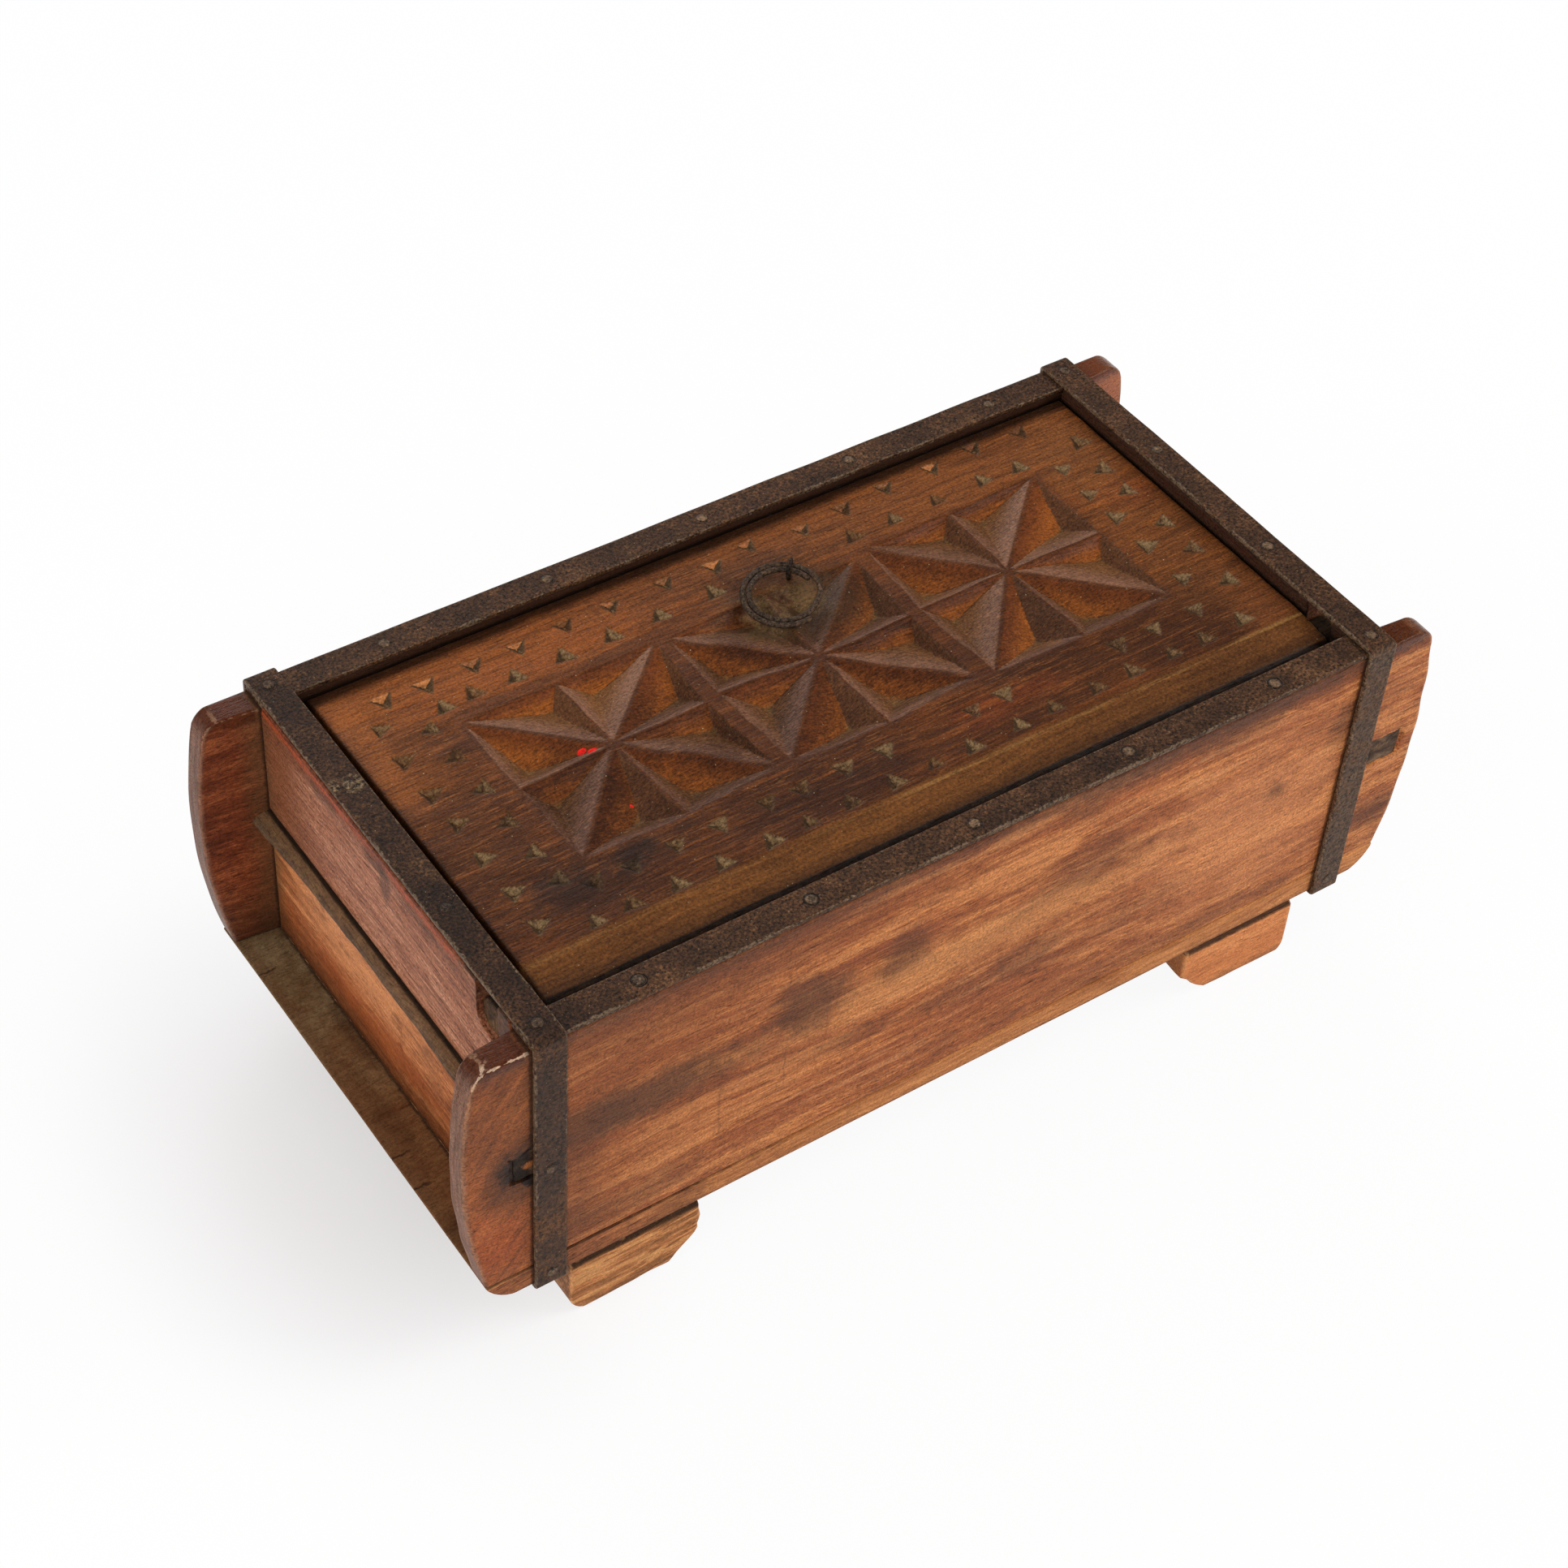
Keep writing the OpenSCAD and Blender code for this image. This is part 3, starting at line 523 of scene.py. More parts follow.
def side_board(side):
    """A side board: a long rounded block whose ends follow the ears, thinner towards their tips.

    The tenons' ends lie in shallow sinkings of its outer face. The tip mark is 1 on the sawn ends.
    """
    def shape(p, flat):
        end = np.where(p[:, 0] < 0, -1, 1)
        uneven = np.where(end < 0, 0.35, 0.75)
        sawn = wander(spots(p[:, 2], end * 40.0, p[:, 1] * 0.2), 15.0, 5 + side)
        reach = ear_reach(p) - uneven * (0.5 + 0.5 * sawn)
        x = np.abs(p[:, 0])
        past = np.clip((x - TAPER_X) / (EAR_X - TAPER_X), 0, 1)
        p[:, 0] = end * np.where(x > TAPER_X, TAPER_X + (reach - TAPER_X) * past, x)
        thin = np.clip(np.abs(p[:, 0]) - OUT_X, 0, None) * (2.0 / 19.6)
        inner = (OUT_Y - np.abs(p[:, 1])) / 9.0
        p[:, 1] += side * thin * np.clip(inner, 0, 1)
        face = inner < 0.05
        for low, high, torn in ((-143.7, -131.3, 1.0), (139.9, 152.1, 0.45)):
            tall = np.abs(p[:, 2] - (RAIL_Z + RAIL_TOP) / 2) / 5.3
            inside = (p[:, 0] > low) & (p[:, 0] < high) & (tall < 1) & face
            p[:, 1] -= side * np.where(inside, 0.9, 0)
            away = np.maximum(np.abs(p[:, 0] - (low + high) / 2) / 6.2, tall)
            near = np.clip(1.5 - away, 0, 0.5) * 2 * face
            p[:, 0] += torn * near * wander(flat * (0.2, 0, 1), 3.2, 401 + side)
            p[:, 2] += torn * near * 0.8 * wander(flat * (1, 0, 0.2), 3.6, 403 + side)

    round_tenons_x = (-146, -145, -143.75, -143.55, -142.4, -141.2, -140, -138.8, -137.5, -136, -131.4,
                      -131.25, 138.8, 139.85, 140.05, 141.5, 143, 144.5, 146, 147.5, 149, 150.5, 151.95,
                      152.15, 153.4)
    round_tenons_z = (65.2, 66.3, 67.4, 67.6, 68.6, 69.8, 71, 72.2, 73.4, 74.6, 75.8, 76.9, 77.9, 78.1,
                      79.2, 80.4)
    points, faces, marks = board((-EAR_X, EAR_X), span(side, IN_Y, OUT_Y), (FLOOR_Z, TOP_Z), 1.0,
                                 (2.6, 3.0, 2.2), 11 + side, shape, 0.14,
                                 (round_tenons_x, (), round_tenons_z))
    marks["tip"] = np.clip(1.6 - (ear_reach(points) - np.abs(points[:, 0])), 0, 1)
    return points, faces, marks


def bottom_board():
    """The bottom board: its ends follow a round of 12 mm, which meets the foot of the ears."""
    round_r, round_z, to_ear = 12.0, 34.0, 11.31

    def shape(p, flat):
        drop = round_z - np.clip(p[:, 2], SOLE_Z, FLOOR_Z)
        reach = SOLE_X - to_ear + np.sqrt(np.maximum(round_r ** 2 - drop ** 2, 0))
        x = np.abs(p[:, 0])
        past = np.clip((x - TAPER_X) / (SOLE_X - TAPER_X), 0, 1)
        p[:, 0] = np.sign(p[:, 0]) * np.where(x > TAPER_X, TAPER_X + (reach - TAPER_X) * past, x)

    return board((-SOLE_X, SOLE_X), (-OUT_Y, OUT_Y), (SOLE_Z, FLOOR_Z), 0.7, (3.4, 3.4, 2.0), 21, shape)


def upper_end(side):
    """An upper end board, with a tongue between the long straps and a U-shaped notch for the peg."""
    half, bend = 63.9, 90.0

    def shape(p, flat):
        y = flat[:, 1] - PIVOT_Y
        depth = np.sqrt(np.maximum(NOTCH_R * NOTCH_R - y * y, 0))
        top = np.where(np.abs(y) < NOTCH_R, PIVOT_Z - depth, LONG_TOP)
        share = np.clip((p[:, 2] - bend) / (LONG_TOP - bend), 0, 1)
        p[:, 2] = np.where(p[:, 2] > bend, bend + share * (top - bend), p[:, 2])
        p[:, 1] *= np.where(p[:, 2] < 115.4, IN_Y / half, 1.0)

    arc = (0.25, 0.5, 0.7, 0.87, 0.97, 1, 1.004)
    round_notch = PIVOT_Y + NOTCH_R * np.array((*(-share for share in arc), 0, *arc))
    points, faces, marks = board(span(side, IN_X, OUT_X), (-half, half), (78.3, LONG_TOP), 0.7,
                                 (3.0, 2.6, 2.4), 31 + side, shape, 0.1, ((), round_notch, (115.5,)))
    unworn = (np.abs(points[:, 1] - PIVOT_Y) < 9) & (points[:, 2] > 96)
    marks["arris"] = np.where(unworn, 9.0, marks["arris"])
    return points, faces, marks


def lower_end(side):
    """A lower end board: a plain rounded block with hand-planed faces."""
    return board(span(side, IN_X, OUT_X), (-IN_Y, IN_Y), (FLOOR_Z, RAIL_Z - 0.05), 0.7, (3.0, 3.0, 2.6),
                 41 + side)


def end_rail(side):
    """An end rail: its underside slopes up from the wall to the nose; a tenon block at each end."""
    proud = PROUD[side]
    face = OUT_X + proud

    def shape(p, flat):
        out = np.clip((np.abs(p[:, 0]) - OUT_X) / proud, 0, 1)
        under = RAIL_Z + out * (RAIL_TOP - RAIL_Z - RAIL_NOSE)
        p[:, 2] = RAIL_TOP - (RAIL_TOP - p[:, 2]) * (RAIL_TOP - under) / (RAIL_TOP - RAIL_Z)
        between = np.clip((p[:, 1] + 64) / 10, 0, 1) * np.clip((62 - p[:, 1]) / 20, 0, 1)
        thin = between * (1.5 + 0.4 * wander(p * (0, 1, 0), 30.0, 55))
        p[:, 0] -= np.sign(p[:, 0]) * thin * out
        top = np.clip((p[:, 2] - 72) / 6, 0, 1)
        worn = 0.5 * out * (1 + wander(p * (0.3, 1, 0), 9.0, 56))
        p[:, 2] -= top * (1.5 * out ** 3 + worn + 0.4 * np.clip(p[:, 1] / 60, 0, 1) * out)

    def broken(p, flat):
        rough = wander(p, 4.0, 77 + side) * 0.2 + wander(p, 1.6, 78) * 0.1
        out = np.clip((np.abs(p[:, 1]) - 72.5) * 2, 0, 1)
        p[:, 1] -= np.sign(p[:, 1]) * np.clip(0.45 + rough, 0, 0.8) * out

    nose = side * (OUT_X + proud * np.array((0.02, 0.3, 0.55, 0.75, 0.9)))
    bar = board(span(side, IN_X, face), (-66, 66), (RAIL_Z, RAIL_TOP), 0.6, (2.4, 2.6, 2.4), 51 + side, shape,
                more=(nose, (), ()))
    low, high = span(side, face - TENON, face)
    ends = [board((low + 0.1, high - 0.1), span(way, 65.6, 73.35), (RAIL_Z + 0.1, RAIL_TOP - 0.1), 0.5,
                  (0.8, 2.0, 0.8), 61 + way, broken, 0.05) for way in (-1, 1)]
    return join(bar, *ends)


def foot(side_x, side_y):
    """A foot: sawn slope at its inner end, rounded lower outer corner, bevel under the bottom board."""
    outer = FOOT_OUT[side_x]
    inner = outer - FOOT_L
    inner_y = OUT_Y - FOOT_W
    big = 6.5 if side_x < 0 else 4.0

    def shape(p, flat):
        z = np.clip(p[:, 2], 0, SOLE_Z)
        low_in = inner + np.clip(10 - z, 0, 10)
        low_out = outer - big + np.sqrt(np.maximum(big ** 2 - np.clip(big - z, 0, big) ** 2, 0))
        low_out = np.where(z > big, outer, low_out)
        share = (np.abs(p[:, 0]) - inner) / FOOT_L
        sawn = 0.9 * wander(spots(p[:, 2], p[:, 1] * 0.3), 6.5, 91 + side_x) * (1 - share) ** 2
        p[:, 0] = side_x * (low_in + share * (low_out - low_in) + np.abs(sawn))
        wavy = 1 + wander(spots(p[:, 0], p[:, 1] * 0.3), 11.0, 93)
        p[:, 2] += 0.5 * np.clip(1 - z / 3, 0, 1) * wavy * np.clip((0.7 - share) * 3, 0, 1)
        p[:, 2] = np.maximum(p[:, 2], 0.0)
        front = np.abs(p[:, 1]) - inner_y
        p[:, 1] = side_y * (inner_y + front * (1 - np.clip(z - 19.5, 0, 2.5) / FOOT_W))

    return board(span(side_x, inner, outer), span(side_y, inner_y, OUT_Y), (0, SOLE_Z - 0.02), 0.8,
                 (1.8, 2.4, 1.6), 81 + side_x + 3 * side_y, shape, 0.25)


def strap_path():
    """The cross strap's way in y and z round the box: straight runs joined by small arcs."""
    r, half, top, low, fold = 1.0, 74.25, 117.85, 21.25, 59.5
    turns = np.radians(np.linspace(0, 90, 6))

    def corner(y, z, start):
        return np.stack([y + r * np.cos(turns + start), z + r * np.sin(turns + start)], 1)

    def run(start, end):
        count = max(2, int(abs(np.subtract(end, start)).max() / 2.2))
        return np.linspace(start, end, count + 1)[1:-1]

    return np.concatenate([
        [(fold, low)], run((fold, low), (half - r, low)),
        corner(half - r, low + r, -math.pi / 2), run((half, low + r), (half, top - r)),
        corner(half - r, top - r, 0), run((half - r, top), (-half + r, top)),
        corner(-half + r, top - r, math.pi / 2), run((-half, top - r), (-half, low + r)),
        corner(-half + r, low + r, math.pi), run((-half + r, low), (-fold, low)), [(-fold, low)],
    ])


def strap_section():
    """The cross strap's section: a rectangle with rounded corners and points along its two broad sides."""
    wide, thick, r = (CROSS_OUT - CROSS_IN) / 2, STRAP_T / 2, 0.38
    bend = np.radians(np.array((0, 22, 45, 67, 90)))
    across = np.array((3.6, 2.6, 1.3, 0, -1.3, -2.6, -3.6))
    section = []
    for turn, (x, y) in enumerate(((1, 1), (-1, 1), (-1, -1), (1, -1))):
        angle = bend + turn * math.pi / 2
        section.append(np.stack([x * (wide - r) + r * np.cos(angle), y * (thick - r) + r * np.sin(angle)], 1))
        if x == y:
            section.append(np.stack([x * across, np.full(7, x * thick)], 1))
    return np.concatenate(section)


def strap_over(side):
    """A cross strap: its section carried along its path round the box, with a little sway and lift."""
    path, section = strap_path(), strap_section()
    along = np.gradient(path, axis=0)
    along = along / np.linalg.norm(along, axis=1, keepdims=True)
    length = np.concatenate([[0], np.cumsum(np.linalg.norm(np.diff(path, axis=0), axis=1))])
    where = spots(side * 50.0, length)
    wide = 1 - 0.012 * (1 + wander(where, 31.0, 101 + side))
    sway = 0.1 * wander(where, 55.0, 103 + side)
    lift = 0.06 * wander(where, 19.0, 105 + side)
    x = CROSS_MID + section[:, 0] * wide[:, None] + sway[:, None]
    off = section[:, 1] + np.minimum(lift, 0.1)[:, None]
    y = path[:, :1] + along[:, 1:] * off
    z = path[:, 1:] - along[:, :1] * off
    ids = np.arange(x.size).reshape(x.shape)
    faces = [wall(ids), ids[:1], ids[-1:, ::-1]]
    edge = np.abs((CROSS_OUT - CROSS_IN) / 2 - np.abs(section[:, 0]))
    marks = {"arris": np.tile(np.minimum(edge, 9), len(path))}
    return spots(side * x, y, z), [ids[:, ::side] for ids in faces], marks


def strap_long(side):
    """A long strap: flat iron along the top of a side board, a little wavy."""
    def wavy(p, flat):
        where = spots(p[:, 0], 9.0 * side)
        p[:, 1] += 0.12 * wander(where, 34.0, 111 + side)
        p[:, 2] += 0.08 * wander(where, 47.0, 113 + side)

    return board((-CROSS_OUT, CROSS_OUT), span(side, 64.0, OUT_Y), (TOP_Z, LONG_TOP), 0.38, (3.0, 1.5, 1.0),
                 115 + side, wavy, 0.05)


# The carved lid

# Each field: its centre, eight points round it clockwise from the left, and the deepest points between
FIELDS = (
    ((-64.75, 7.15),
     ((-94.95, 5.35), (-94.95, 35.25), (-65.75, 34.95), (-33.95, 34.95),
      (-35.35, 7.75), (-31.95, -22.05), (-61.95, -25.05), (-93.35, -24.45)),
     ((-87.35, 12.35), (-70.35, 29.15), (-56.75, 29.45), (-38.55, 15.75),
      (-36.95, 1.05), (-54.65, -16.55), (-71.95, -17.35), (-87.25, -1.35))),
    ((1.15, 7.15),
     ((-30.55, 9.55), (-30.55, 34.55), (2.05, 36.55), (33.45, 35.55),
      (32.05, 7.75), (33.45, -21.45), (2.45, -24.25), (-28.55, -23.05)),
     ((-22.85, 16.25), (-3.85, 29.95), (9.85, 28.95), (26.65, 15.75),
      (29.25, 1.05), (10.85, -15.25), (-5.95, -17.65), (-19.65, 0.55))),
    ((67.25, 9.15),
     ((36.05, 8.75), (37.45, 37.55), (67.25, 37.95), (99.05, 38.95),
      (100.05, 8.55), (100.45, -23.45), (69.25, -23.85), (39.05, -23.05)),
     ((43.15, 15.15), (62.35, 32.55), (77.15, 33.55), (94.55, 18.35),
      (96.05, 2.35), (75.85, -15.95), (58.95, -15.95), (44.75, 3.05))),
)
# The full depth of a field's cuts
CUT = 4.2
# The triangle chips by the way they point, in x and y, and whether they are fresh: their places
CHIPS = {
    (0, -1, True): (
        (-108, 52), (-95.5, 52), (-81.5, 52), (-67, 52.5), (-51.5, 53), (-36.5, 53), (-19, 54), (-3, 52.5),
        (10.5, 55), (27, 53.5), (42.5, 55), (58.5, 56), (75, 56.5), (91, 57.5), (108, 56.5)),
    (0, 1, False): (
        (-96, 43), (-86.5, 43.2), (-73, 43.4), (-58, 43.6), (-43, 43.8), (-26.5, 44), (-8.5, 44.2),
        (38, 44.6), (53, 44.7), (68.5, 44.8), (85, 45), (98, 45), (121, 45),
        (-102, -43.5), (-91, -43.5), (-77.5, -43.3), (-64, -43.2), (-48.5, -43), (-37, -42.8), (-23, -42.6),
        (-9, -42.5), (4, -42.3), (16.5, -42.2), (32.5, -42), (44, -41.8), (59, -41.7), (71.5, -41.5),
        (85.5, -41.3), (97, -41.2), (111.5, -41)),
    (0, -1, False): (
        (-95, -33), (-84, -33), (-71, -32.9), (-57, -32.8), (-42.5, -32.6), (-32, -32.4), (-17.5, -32.3),
        (-5, -32.2), (25, -32), (36, -31.9), (75, -31.7), (88, -31.6), (102.5, -31.5)),
    (1, 0, False): (
        *((-114, y) for y in (43.5, 30.5, 15.5, 3.5, -11, -25, -37.5)),
        *((109, y) for y in (37, 23.5, 11.5, -3, -19))),
    (-1, 0, False): (
        *((-103, y) for y in (36.5, 24, 11, -3, -16, -27)),
        *((118.5, y) for y in (31, 19.5, 3, -10, -26.5))),
}


def pit(x, y, corners, deep):
    """How deep a three-sided cut is, and which of its sides is the nearest.

    The depth is the least, over its sides, of the distance to the side over the deep point's distance.
    """
    corners, deep = np.array(corners, float), np.array(deep, float)
    first, second = corners[1] - corners[0], corners[2] - corners[0]
    if first[0] * second[1] - first[1] * second[0] < 0:
        corners = corners[::-1]
    shares = []
    for start, end in zip(corners, np.roll(corners, -1, 0)):
        along = end - start
        inward = np.array((-along[1], along[0])) / np.hypot(*along)
        distance = (x - start[0]) * inward[0] + (y - start[1]) * inward[1]
        shares.append(distance / ((deep - start) @ inward))
    return np.min(shares, axis=0), np.argmin(shares, axis=0)


def carve(x, y):
    """The lid's cuts at each place: depth, and marks for fields, chips, fresh chips and each cut's tint.

    A field's cut is the pit's share of the full depth, with its start at the surface made soft: half of
    the share plus the root of its square and a small number.
    """
    depth, field, chip, fresh, tint = np.zeros((5, *x.shape))
    bow = 0.35 * wander(spots(x, y), 14.0, 201).reshape(x.shape)
    rng = np.random.default_rng(7)
    for centre, around, deeps in FIELDS:
        for i, deep in enumerate(deeps):
            share, which = pit(x + bow, y + bow, (centre, around[i], around[(i + 1) % 8]), deep)
            soft = 0.5 * (share - 0.07 + np.sqrt((share - 0.07) ** 2 + 0.06 ** 2)) / 0.93
            depth = np.maximum(depth, CUT * np.minimum(soft, 1.2))
            field = np.maximum(field, np.clip(share, 0, 1))
            tint = np.where(share > 0, rng.uniform(-1, 1, 3)[which], tint)
    for (way_x, way_y, is_fresh), places in CHIPS.items():
        for place in places:
            size, swing = rng.uniform(0.88, 1.12), rng.uniform(-0.2, 0.2)
            cos, sin = math.cos(swing), math.sin(swing)
            way = np.array((way_x * cos - way_y * sin, way_x * sin + way_y * cos))
            across = np.array((-way[1], way[0])) * 3.1 * size
            mid = np.array(place) + rng.uniform(-0.4, 0.4, 2)
            back = mid - way * 2.3 * size
            near = (np.abs(x - place[0]) < 6) & (np.abs(y - place[1]) < 6)
            share, _ = pit(x[near], y[near], (mid + way * 3.1 * size, back + across, back - across),
                           mid - way * 0.9)
            depth[near] = np.maximum(depth[near], 1.6 * size * np.clip(share, 0, 1))
            rim = np.clip((share + 0.12) * 5, 0, 1)
            chip[near] = np.maximum(chip[near], rim)
            tint[near] = np.where(share > -0.12, rng.uniform(-1, 1), tint[near])
            if is_fresh:
                fresh[near] = np.maximum(fresh[near], rim)
    return depth, field, chip, fresh, tint


def lid_board():
    """The lid: a fine sheet of heights for its carved top, then rings of points round it and under it."""
    r, fine = 0.8, 0.57
    xs = np.concatenate([
        LID_LEFT + r * ROUNDING, np.arange(LID_LEFT + 2, -118, 1.4), np.arange(-118, 123.3, fine),
        np.arange(124, LID_RIGHT - 1.2, 1.2), LID_RIGHT - r * ROUNDING])
    ys = np.concatenate([
        LID_FRONT + np.array((0, 0.3, 0.9, 1.5, 2.0, 2.3)), np.arange(-56.5, -47, 1.2),
        np.arange(-46.8, 59.4, fine), np.arange(60, LID_REAR - 1.2, 1.1), LID_REAR - r * ROUNDING])
    xs, ys = np.unique(np.round(xs, 4)), np.unique(np.round(ys, 4))
    x, y = np.meshgrid(xs, ys, indexing="ij")
    depth, field, chip, fresh, tint = carve(x, y)

    def drop(away):
        gap = np.clip(r - away, 0, r)
        return r - np.sqrt(np.maximum(r * r - gap * gap, 0))

    z = LID_TOP - depth
    slope_x, slope_y = np.gradient(z, xs, ys)
    steep = np.hypot(slope_x, slope_y) + 0.05
    slope_ends = (LID_FRONT, LID_FRONT + 0.5, LID_FRONT + 2, -46.9, -46.2)
    z = z - np.interp(y, slope_ends, (3.3, 2.35, 1.3, 0.03, 0.0))
    z -= drop(x - LID_LEFT) + drop(LID_RIGHT - x) + drop(LID_REAR - y)
    planed = spots(x * 0.25, y)
    small = wander(planed * (1, 2.2, 1), 3.0, 213).reshape(x.shape)
    z -= 0.09 * (1 + wander(planed, 9.0, 211).reshape(x.shape)) + 0.05 * (1 + small)
    ids = np.arange(x.size).reshape(x.shape)
    loop = np.concatenate([ids[:-1, 0], ids[-1, :-1], ids[::-1, -1][:-1], ids[0, ::-1][:-1]])
    top = spots(x, y, z)
    rim = top[loop, :2]
    mid = np.array(((LID_LEFT + LID_RIGHT) / 2, (LID_FRONT + LID_REAR) / 2))
    half = np.array(((LID_RIGHT - LID_LEFT) / 2, (LID_REAR - LID_FRONT) / 2))
    points, rows = [top], [loop]
    arris = [np.minimum.reduce([x - LID_LEFT, LID_RIGHT - x, LID_REAR - y, y - LID_FRONT]).ravel()]
    below = ((0, 108.5, 4.0), (0, 104.0, 3.0), (0, 101.6, 0.8), (0.25, 100.9, 0.1), (0.9, 100.55, 0.3),
             (3.5, LID_UNDER, 3.0))
    for i, (inset, level, mark) in enumerate(below):
        ring = mid + (rim - mid) * ((half - inset) / half)
        points.append(np.column_stack([ring, np.full(len(rim), level)]))
        rows.append(x.size + i * len(rim) + np.arange(len(rim)))
        arris.append(np.full(len(rim), mark))
    bare = np.exp(-(((x - 3) / 16) ** 2 + ((y - 30) / 9) ** 2) ** 1.5)
    marks = {"deep": depth, "field": field, "chip": chip, "fresh": fresh, "to_right": -slope_x / steep,
             "to_rear": -slope_y / steep, "bare": bare, "tint": tint}
    rest = np.zeros(len(below) * len(rim))
    marks = {key: np.concatenate([values.ravel(), rest]) for key, values in marks.items()}
    marks["arris"] = np.concatenate(arris)
    faces = [np.concatenate([sheet(ids), wall(np.array(rows))]), rows[-1][None, ::-1]]
    return np.concatenate(points), faces, marks


# What use and age left on each piece

def inside_shade(b):
    """Painted shade on the faces inside the box, close under its rim, nearly black just under the straps."""
    inner = b.beyond(b.x, 130.4, 129.6) * b.beyond(b.y, 65.9, 65.1)
    high = inner * b.step(b.z + b.scuff * 6.0, 92, 106)
    b.shade(high * 0.94, (66, 42, 29))
    b.shade(inner * b.step(b.z + b.scuff, 114.6, 113.0, 0.3, 0.9), (20, 13, 9))
    b.rubbed = b.rubbed * (1 - high)


def board_joints(b):
    """Dark lines where the side boards meet the bottom board, and painted shade beside the cross straps."""
    seam = b.line(b.z - FLOOR_Z + b.torn(0.8), 0.75, 0.4) * b.ragged(b.x, 160, -30, -125, 0.1, 1.0)
    # Painted shade along both edges of each cross strap
    beside = b.ragged((b.x.size() - CROSS_MID).size(), 1.6, 5.9, 5.0)
    b.rubbed = b.rubbed * b.step(b.z, 32.5, 33.5) * b.step(b.z, 114.0, 112.0)
    b.shade(seam * 0.75, (40, 23, 14))
    b.shade(beside * 0.75, (44, 30, 22))


def ear_ends(b):
    """The ears' sawn, handled ends: greyish left, light right, dark and polished on top; left arris chipped,
    with painted highlight.
    """
    cross = b.weave((0.12, 0.8, 0.07), 4.0, 0.65)
    left_end = b.ramp(cross, (0.38, (82, 54, 40)), (0.6, (126, 95, 78)))
    right_end = b.ramp(cross, (0.38, (150, 92, 60)), (0.6, (214, 150, 106)))
    b.shade(b.mark("tip") * 0.75, b.blend(b.step(b.x, -10, 10), left_end, right_end))
    high = b.ragged(b.z, 4.0, 110.5, 114.6) * b.beyond(b.x, 139.2, 140.5)
    b.shade(high * 0.8, (74, 35, 19))
    # The left ears' top arris: chipped wood, and a pale painted highlight along it
    chipped_and_glinting = b.ragged(b.mark("arris"), 4.0, 0.4, 0.05) * b.step(b.x, -138.5, -139.5)
    b.shade(chipped_and_glinting * b.step(b.z, 106, 113) * b.step(b.y, -70, -72) * 0.75, (206, 178, 152))
    b.shade(chipped_and_glinting * b.step(b.z, 112, 96, 0.25, 0.0), (190, 150, 118))
    b.rough = b.rough - high * 0.28
    b.rubbed = b.rubbed * (1 - high * 0.4) * b.step(b.x, -150, -120, 0.6, 1.0)


# The front board's smudges: middle and half sizes along the board and up it, and how dark
FRONT_SMUDGES = (
    ((-102, 76), (30, 6.5), 0.8), ((-119, 77), (12, 8), 0.4), ((-53, 84), (11, 10), 0.72),
    ((-26, 84), (7.5, 7), 0.62), ((-38, 60), (13, 4), 0.25), ((-5, 58), (9, 4), 0.3),
    ((16, 59), (11, 5), 0.42), ((38, 85), (16, 6), 0.35), ((31, 107), (6, 4), 0.5),
    ((-153, 92), (6, 10), 0.3), ((-144, 70), (7, 13), 0.6), ((80, 113), (44, 6), 0.55),
    ((126, 92), (5, 8), 0.5), ((-124, 60), (5, 14), 0.3), ((104, 77), (4, 3), 0.5),
    ((-128, 42), (8, 7), 0.35), ((145, 46), (16, 5), 0.5), ((80, 34), (50, 3), 0.3),
    ((-110, 38), (24, 5), 0.35), ((-70, 106), (60, 6), 0.22), ((60, 58), (16, 3), 0.25),
)


